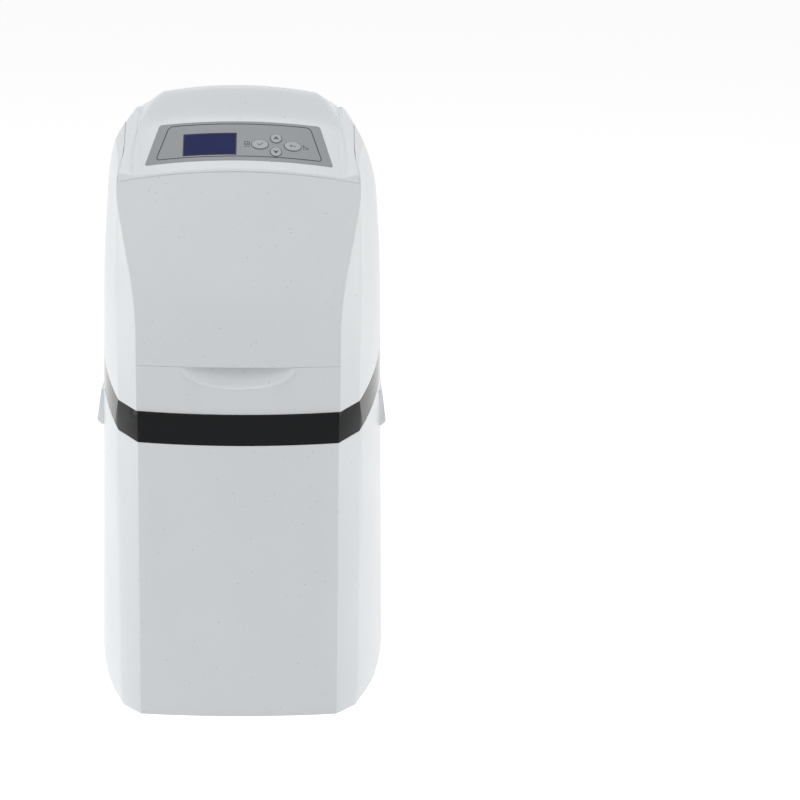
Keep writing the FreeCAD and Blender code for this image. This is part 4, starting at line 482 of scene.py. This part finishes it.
def make_hood():
    """Hood skin: a fine sheet laid over the height, with a low lip over the lid's edge."""
    rows = hood_rows()
    front_rows = len(LIP)
    count = front_rows + len(rows)
    shape = bmesh.new()
    bmesh.ops.create_grid(shape, x_segments=HOOD_COLUMNS, y_segments=count - 1, size=1.0)
    back = HOOD_BACK - PANEL_Y
    for vert in shape.verts:
        column = round((vert.co.x + 1) / 2 * HOOD_COLUMNS)
        row = round((vert.co.y + 1) / 2 * (count - 1))
        x = HOOD_HALF * (2 * column / HOOD_COLUMNS - 1)
        edge_z = arch_z(x, ARCH_GAP)
        lip_y = visor_y(x, edge_z + 2.0)
        if row < front_rows:
            proud, rise = LIP[row]
            z = edge_z + rise
            y = visor_y(x, z) - proud
        else:
            behind = rows[row - front_rows]
            y = lip_y + behind * (HOOD_BACK - lip_y) / back - LIP[-1][0] * max(0.0, 1.0 - behind / 2.5)
            z = hood_height(x, y)
            top = edge_z + 2.9 + behind * 0.75
            fade = max(0.0, 1.0 - behind / 4.0)
            z = z + (min(z, max(top, z - 2.0)) - z) * fade
        vert.co = Vector((x, y, z)) * MM
    bmesh.ops.recalc_face_normals(shape, faces=shape.faces)
    if sum(face.normal.z for face in shape.faces) < 0:
        bmesh.ops.reverse_faces(shape, faces=shape.faces)
    x, s, wide, tall = DISPLAY
    across, along = wide / 2 + DISPLAY_GAP, tall / 2 + DISPLAY_GAP
    cut_opening(shape, x - across, x + across, s - along, s + along)
    for x, s, long, short in KEYS.values():
        across, along = long + KEY_GAP, short + KEY_GAP
        cut_opening(shape, x - across, x + across, s - along, s + along)
    bmesh.ops.solidify(shape, geom=shape.faces[:], thickness=HOOD_WALL * MM)
    for vert in shape.verts:
        # Keep the inner sheet behind the lip, clear of the lid below it
        x, z = vert.co.x / MM, vert.co.z / MM
        low = arch_z(x, ARCH_GAP) + LIP[0][1] - 0.01
        if z < low and vert.co.y < LIP_ZONE_Y * MM:
            vert.co.z = low * MM
            vert.co.y = max(vert.co.y, (visor_y(x, low) + 0.4) * MM)
        draw_in(vert.co)
    piece("hood_skin", shape, shell_white, "cabinet", ("control_hood",), 40.0)


make_hood()


# What is printed and set into the panel

# Heights above the panel, and how thick and how proud a print is
LABEL_TOP = 0.4
KEY_TOP = 1.3
PRINT_THICKNESS = 0.05
PRINT_PROUD = 0.04


def flat_outline(corners, corner_radius=0.0):
    """A flat face in panel measures with its corners rounded."""
    shape = bmesh.new()
    shape.faces.new([shape.verts.new((x, s, 0.0)) for x, s in corners])
    if corner_radius:
        bmesh.ops.bevel(shape, geom=shape.verts[:], offset=corner_radius, offset_type="OFFSET", segments=6,
                        profile=0.5, affect="VERTICES", material=-1)
    return shape


def flat_oval(x, s, long, short):
    """A flat oval face round a middle, from its two half lengths."""
    shape = bmesh.new()
    bmesh.ops.create_circle(shape, cap_ends=True, radius=1.0, segments=56)
    bmesh.ops.scale(shape, vec=(long, short, 1.0), verts=shape.verts)
    bmesh.ops.translate(shape, vec=(x, s, 0.0), verts=shape.verts)
    return shape


def keep_rim(shape, width):
    """Leave only a band of this width along the outline."""
    inner = shape.faces[:]
    bmesh.ops.inset_region(shape, faces=inner, thickness=width, use_boundary=True, use_even_offset=True)
    bmesh.ops.delete(shape, geom=inner, context="FACES")
    return shape


def set_in_panel(name, shape, finish, level, body="cabinet"):
    """Give a flat shape a thickness and lay it on the crowned panel at a level above it."""
    for step in range(-12, 13):
        bmesh.ops.bisect_plane(shape, geom=shape.verts[:] + shape.edges[:] + shape.faces[:], dist=1e-4,
                               plane_co=(step * 8.0, 0.0, 0.0), plane_no=(1.0, 0.0, 0.0))
    bmesh.ops.recalc_face_normals(shape, faces=shape.faces)
    if sum(face.normal.z for face in shape.faces) < 0:
        bmesh.ops.reverse_faces(shape, faces=shape.faces)
    bmesh.ops.solidify(shape, geom=shape.faces[:], thickness=PRINT_THICKNESS)
    top = max(vert.co.z for vert in shape.verts)
    bmesh.ops.translate(shape, vec=(0.0, 0.0, level - top), verts=shape.verts)
    lay_on_panel(shape)
    bmesh.ops.recalc_face_normals(shape, faces=shape.faces)
    piece(name, shape, finish, body)


def bars(*areas):
    """Several flat bars in one shape, each from its low corner to its high corner."""
    shape = bmesh.new()
    for low_x, low_s, high_x, high_s in areas:
        corners = ((low_x, low_s), (high_x, low_s), (high_x, high_s), (low_x, high_s))
        shape.faces.new([shape.verts.new((x, s, 0.0)) for x, s in corners])
    return shape


def make_panel_print():
    """Border line, rings round the keys, arrowheads, marks and a black ring of painted shade round the
    display.
    """
    border = flat_outline(((-87.2, 15.8), (87.2, 15.8), (74.2, 59.8), (-74.2, 59.8)), 5.0)
    set_in_panel("label_border_line", keep_rim(border, 1.1), line_dark, LABEL_TOP + PRINT_PROUD)
    for name, (x, s, long, short) in KEYS.items():
        ring = keep_rim(flat_oval(x, s, long + 0.75, short + 0.75), 0.55)
        set_in_panel(name + "_ring", ring, line_dark, LABEL_TOP + 0.05)
        softened(name, name + "_cap", key_grey, 0.3, KEY_BODY[name])
    for name, turn in (("key_up", 1.0), ("key_down", -1.0)):
        x, s = KEYS[name][:2]
        head = flat_outline([(x + across, s + turn * along)
                             for across, along in ((0.0, 2.8), (3.3, -2.2), (0.0, -0.6), (-3.3, -2.2))], 0.25)
        set_in_panel(name + "_arrow", head, line_dark, KEY_TOP + PRINT_PROUD, KEY_BODY[name])
    x, s = KEYS["key_select"][:2]
    tick = flat_outline([(x + across, s + along) for across, along in (
        (-3.4, 0.2), (-2.6, 1.0), (-1.0, -0.6), (2.8, 2.4), (3.5, 1.6), (-1.0, -2.2))])
    set_in_panel("key_select_mark", tick, ink_soft, KEY_TOP + PRINT_PROUD, "select_key")
    x, s = KEYS["key_escape"][:2]
    back = flat_outline([(x + across, s + along) for across, along in (
        (-3.8, 0.0), (-1.0, 2.2), (-1.0, 0.6), (3.6, 0.6), (3.6, -0.6), (-1.0, -0.6), (-1.0, -2.2))])
    set_in_panel("key_escape_mark", back, ink_soft, KEY_TOP + PRINT_PROUD, "escape_key")
    menu = bars((5.2, 32.4, 5.9, 36.2), (5.9, 35.5, 8.6, 36.2), (8.6, 32.4, 9.3, 36.2),
                (5.9, 32.4, 8.6, 33.1), (10.2, 31.0, 10.9, 36.2), (5.2, 31.0, 10.2, 31.7),
                (5.2, 29.0, 8.2, 29.7), (8.9, 29.0, 10.9, 29.7))
    set_in_panel("menu_mark", menu, line_dark, LABEL_TOP + PRINT_PROUD)
    flow = bars((66.6, 31.4, 67.4, 35.4), (67.4, 32.8, 69.2, 33.6), (69.2, 31.4, 72.4, 32.2),
                (66.6, 29.6, 68.2, 30.3), (68.9, 29.6, 72.6, 30.3))
    set_in_panel("flow_mark", flow, line_dark, LABEL_TOP + PRINT_PROUD)
    x, s, wide, tall = DISPLAY
    # The display's black ring is painted shade, the shadow of the pane's recess
    shade_ring_outline = flat_outline(((x - wide / 2, s - tall / 2), (x + wide / 2, s - tall / 2),
                               (x + wide / 2, s + tall / 2), (x - wide / 2, s + tall / 2)), 0.6)
    set_in_panel("display_painted_shade_ring", keep_rim(shade_ring_outline, 1.1), pane_painted_shade, 0.06)


make_panel_print()


# The film's lower and upper edges: half width and place up the slope
LABEL_EDGES = ((98.0, 11.0), (84.0, 62.8))
LABEL_CORNER = 2.6


def make_label():
    """The printed film itself, with the small radius that its corners are cut to."""
    shape = merged_copy("panel_label")
    ends = [on_panel(side * half, s, LABEL_TOP / 2) for side in (-1, 1) for half, s in LABEL_EDGES]
    corners = []
    for edge in shape.edges:
        middle = (edge.verts[0].co + edge.verts[1].co) / 2
        if edge.calc_length() < 0.6 * MM and min((middle - end).length for end in ends) < 0.8 * MM:
            corners.append(edge)
    bmesh.ops.bevel(shape, geom=corners, offset=LABEL_CORNER * MM, offset_type="OFFSET", segments=5,
                    profile=0.5, affect="EDGES", material=-1)
    piece("label_film", shape, label_grey, "cabinet", ("panel_label",), 30.0)


make_label()


# The outer shells

# The tub's foot turns in by this much, up to this height
FOOT_TURN = 3.6
FOOT_HEIGHT = 26.0
# The side grips: where the wall ends and they begin, their heights and middle, their ends' half
# length and slant, and how far their upper and lower edges fall back
GRIP_X = 157.0
GRIP_LEVELS = (318.0, 372.0)
GRIP_EDGES = (326.0, 366.0)
GRIP_Y = -40.0
GRIP_END = 50.0
GRIP_SLANT = 8.0
GRIP_TOP_FALL = 0.8
GRIP_LOW_FALL = 4.0
# The lid is this much wider and longer than the CAD one
LID_WIDER = 1.0042
LID_LOW_EDGE = 392.0
LID_LONGER = 0.4
# The finger scoop: half width, heights, greatest depth, and the share of its depth that is kept
SCOOP_HALF = 62.0
SCOOP_LEVELS = (360.0, 389.0)
SCOOP_REACH = 15.0
SCOOP_KEPT = 0.5


def slice_levels(shape, levels):
    """Add a row of vertices all round at each of these heights."""
    for level in levels:
        bmesh.ops.bisect_plane(shape, geom=shape.verts[:] + shape.edges[:] + shape.faces[:], dist=1e-7,
                               plane_co=(0.0, 0.0, level * MM), plane_no=(0.0, 0.0, 1.0))


def shape_tub(shape):
    """The sides turn in at the floor, and the grips slant at their ends and fall back below."""
    slice_levels(shape, (4.0, 8.0, 13.0, 19.0, FOOT_HEIGHT))
    for vert in shape.verts:
        x, z = abs(vert.co.x) / MM, vert.co.z / MM
        share = max(1.0 - z / FOOT_HEIGHT, 0.0)
        inward = FOOT_TURN * share * share * ease(118.0, 140.0, x)
        vert.co.x -= math.copysign(inward * MM, vert.co.x)
        y = vert.co.y / MM - GRIP_Y
        if x > GRIP_X and GRIP_LEVELS[0] < z < GRIP_LEVELS[1]:
            fall = GRIP_LOW_FALL - (GRIP_LOW_FALL - GRIP_TOP_FALL) * ease(*GRIP_EDGES, z)
            vert.co.x -= math.copysign(fall * MM, vert.co.x)
            if abs(y) > GRIP_END:
                vert.co.y -= math.copysign(GRIP_SLANT * MM, y)


def shape_lid(shape):
    """The lid fills its opening but for a hairline, so its side and lower seams hardly show."""
    for vert in shape.verts:
        vert.co.x *= LID_WIDER
        if vert.co.z < LID_LOW_EDGE * MM:
            vert.co.z -= LID_LONGER * MM


def shape_cover(shape):
    """Draw the shoulders in, and make the finger scoop as shallow as it looks."""
    slice_levels(shape, range(470, 660, 10))
    for vert in shape.verts:
        x, z = vert.co.x / MM, vert.co.z / MM
        if abs(x) < SCOOP_HALF and SCOOP_LEVELS[0] < z < SCOOP_LEVELS[1] and vert.normal.y < -0.2:
            front = FRONT + COVER_SETBACK + bow(x, BOW_RADIUS)
            depth = vert.co.y / MM - front
            if 0.0 < depth < SCOOP_REACH:
                vert.co.y = (front + depth * SCOOP_KEPT) * MM
        draw_in(vert.co)


softened("brine_tank", "tub_shell", shell_white, 1.6, reshape=shape_tub)
softened("trim_band", "black_band", trim_black, 0.7)
softened("salt_lid", "lid_shell", shell_white, 0.3, "lid", reshape=shape_lid)
softened("top_cover", "cover_shell", shell_white, 0.3, reshape=shape_cover)


# Floor, light and camera

# How brightly the floor glows where it is seen, and how bright the room is for everything else
FLOOR_GLOW = 0.56
AMBIENT = 0.45


def seen_or_reflected(tree):
    """1 for rays from the camera and for rays that a surface reflects or lets through."""
    rays = add(tree, "ShaderNodeLightPath")
    seen = add(tree, "ShaderNodeMath", operation="MAXIMUM")
    tree.links.new(rays.outputs["Is Camera Ray"], seen.inputs[0])
    tree.links.new(rays.outputs["Is Glossy Ray"], seen.inputs[1])
    seen_too = add(tree, "ShaderNodeMath", operation="MAXIMUM")
    tree.links.new(seen.outputs["Value"], seen_too.inputs[0])
    tree.links.new(rays.outputs["Is Transmission Ray"], seen_too.inputs[1])
    return seen_too.outputs["Value"]


def make_floor():
    """White studio paper that vanishes into the background."""
    shape = bmesh.new()
    bmesh.ops.create_grid(shape, x_segments=1, y_segments=1, size=40.0)
    mesh = bpy.data.meshes.new("studio_floor")
    shape.to_mesh(mesh)
    shape.free()
    floor = bpy.data.objects.new("studio_floor", mesh)
    scene.collection.objects.link(floor)
    material = bpy.data.materials.new("white studio paper")
    material.use_nodes = True
    tree = material.node_tree
    shader = tree.nodes["Principled BSDF"]
    shader.inputs["Base Color"].default_value = srgb("F2F2F2")
    shader.inputs["Roughness"].default_value = 0.9
    shader.inputs["Specular IOR Level"].default_value = 0.0
    seen = seen_or_reflected(tree)
    lift = add(tree, "ShaderNodeMath", operation="MULTIPLY")
    tree.links.new(seen, lift.inputs[0])
    lift.inputs[1].default_value = FLOOR_GLOW
    shader.inputs["Emission Color"].default_value = (1.0, 1.0, 1.0, 1.0)
    tree.links.new(lift.outputs["Value"], shader.inputs["Emission Strength"])
    mesh.materials.append(material)


def make_world():
    """Even studio light, and a white room where it is seen straight or in a reflection."""
    world = bpy.data.worlds.new("studio")
    world.use_nodes = True
    scene.world = world
    tree = world.node_tree
    tree.nodes.clear()
    seen = seen_or_reflected(tree)
    level = add(tree, "ShaderNodeMapRange", {"To Min": AMBIENT, "To Max": 1.0}, {"Value": seen})
    glow = add(tree, "ShaderNodeBackground", {"Color": (1.0, 1.0, 1.0, 1.0)},
               {"Strength": level.outputs["Result"]})
    add(tree, "ShaderNodeOutputWorld", None, {"Surface": glow.outputs["Background"]})


# Softboxes: place, size across and up, and power in watts
SOFTBOXES = {
    "left_softbox": ((-2.0, 0.2, 0.6), (1.6, 1.1), 10.6),
    "right_softbox": ((2.0, 0.2, 0.6), (1.6, 1.1), 10.4),
    "left_fill": ((-2.6, -0.6, 1.2), (2.2, 2.4), 3.5),
    "top_softbox": ((0.0, -0.4, 3.2), (2.0, 2.0), 10.5),
    "front_softbox": ((0.0, -1.7, 2.9), (2.0, 1.2), 19.0),
}
AIM = Vector((0.0, 0.0, 0.33))


def make_lights():
    """Large soft lamps that all look at the middle of the cabinet."""
    for name, (place, size, power) in SOFTBOXES.items():
        lamp = bpy.data.lights.new(name, "AREA")
        lamp.shape = "RECTANGLE"
        lamp.size, lamp.size_y = size
        lamp.energy = power
        item = bpy.data.objects.new(name, lamp)
        scene.collection.objects.link(item)
        item.location = place
        item.rotation_euler = (AIM - Vector(place)).to_track_quat("-Z", "Y").to_euler()


CAMERA_AZIMUTH = math.radians(1.391)
CAMERA_ELEVATION = math.radians(13.747)
CAMERA_DISTANCE = 2.9686
FOCAL_PIXELS = 2593.7
FRAME_PIXELS = 800.0
AIM_PIXEL = (244.0, 364.8)
SENSOR_MM = 36.0


def make_camera():
    """The photograph's view: far off, a little above, with the object left of the frame's middle."""
    data = bpy.data.cameras.new("photo_camera")
    data.sensor_width = SENSOR_MM
    data.lens = FOCAL_PIXELS / FRAME_PIXELS * SENSOR_MM
    item = bpy.data.objects.new("photo_camera", data)
    scene.collection.objects.link(item)
    level = math.cos(CAMERA_ELEVATION)
    back = Vector((math.sin(CAMERA_AZIMUTH) * level, -math.cos(CAMERA_AZIMUTH) * level,
                   math.sin(CAMERA_ELEVATION)))
    right = (-back).cross(Vector((0.0, 0.0, 1.0))).normalized()
    up = right.cross(-back)
    turn = Matrix((right, up, back)).transposed().to_4x4()
    half = FRAME_PIXELS / 2
    yaw = math.atan((half - AIM_PIXEL[0]) / FOCAL_PIXELS)
    pitch = math.atan((half - AIM_PIXEL[1]) / FOCAL_PIXELS)
    turn = turn @ Matrix.Rotation(-yaw, 4, "Y") @ Matrix.Rotation(-pitch, 4, "X")
    item.matrix_world = Matrix.Translation(AIM + back * CAMERA_DISTANCE) @ turn
    scene.camera = item


make_floor()
make_world()
make_lights()
make_camera()
scene.view_settings.view_transform = "Standard"
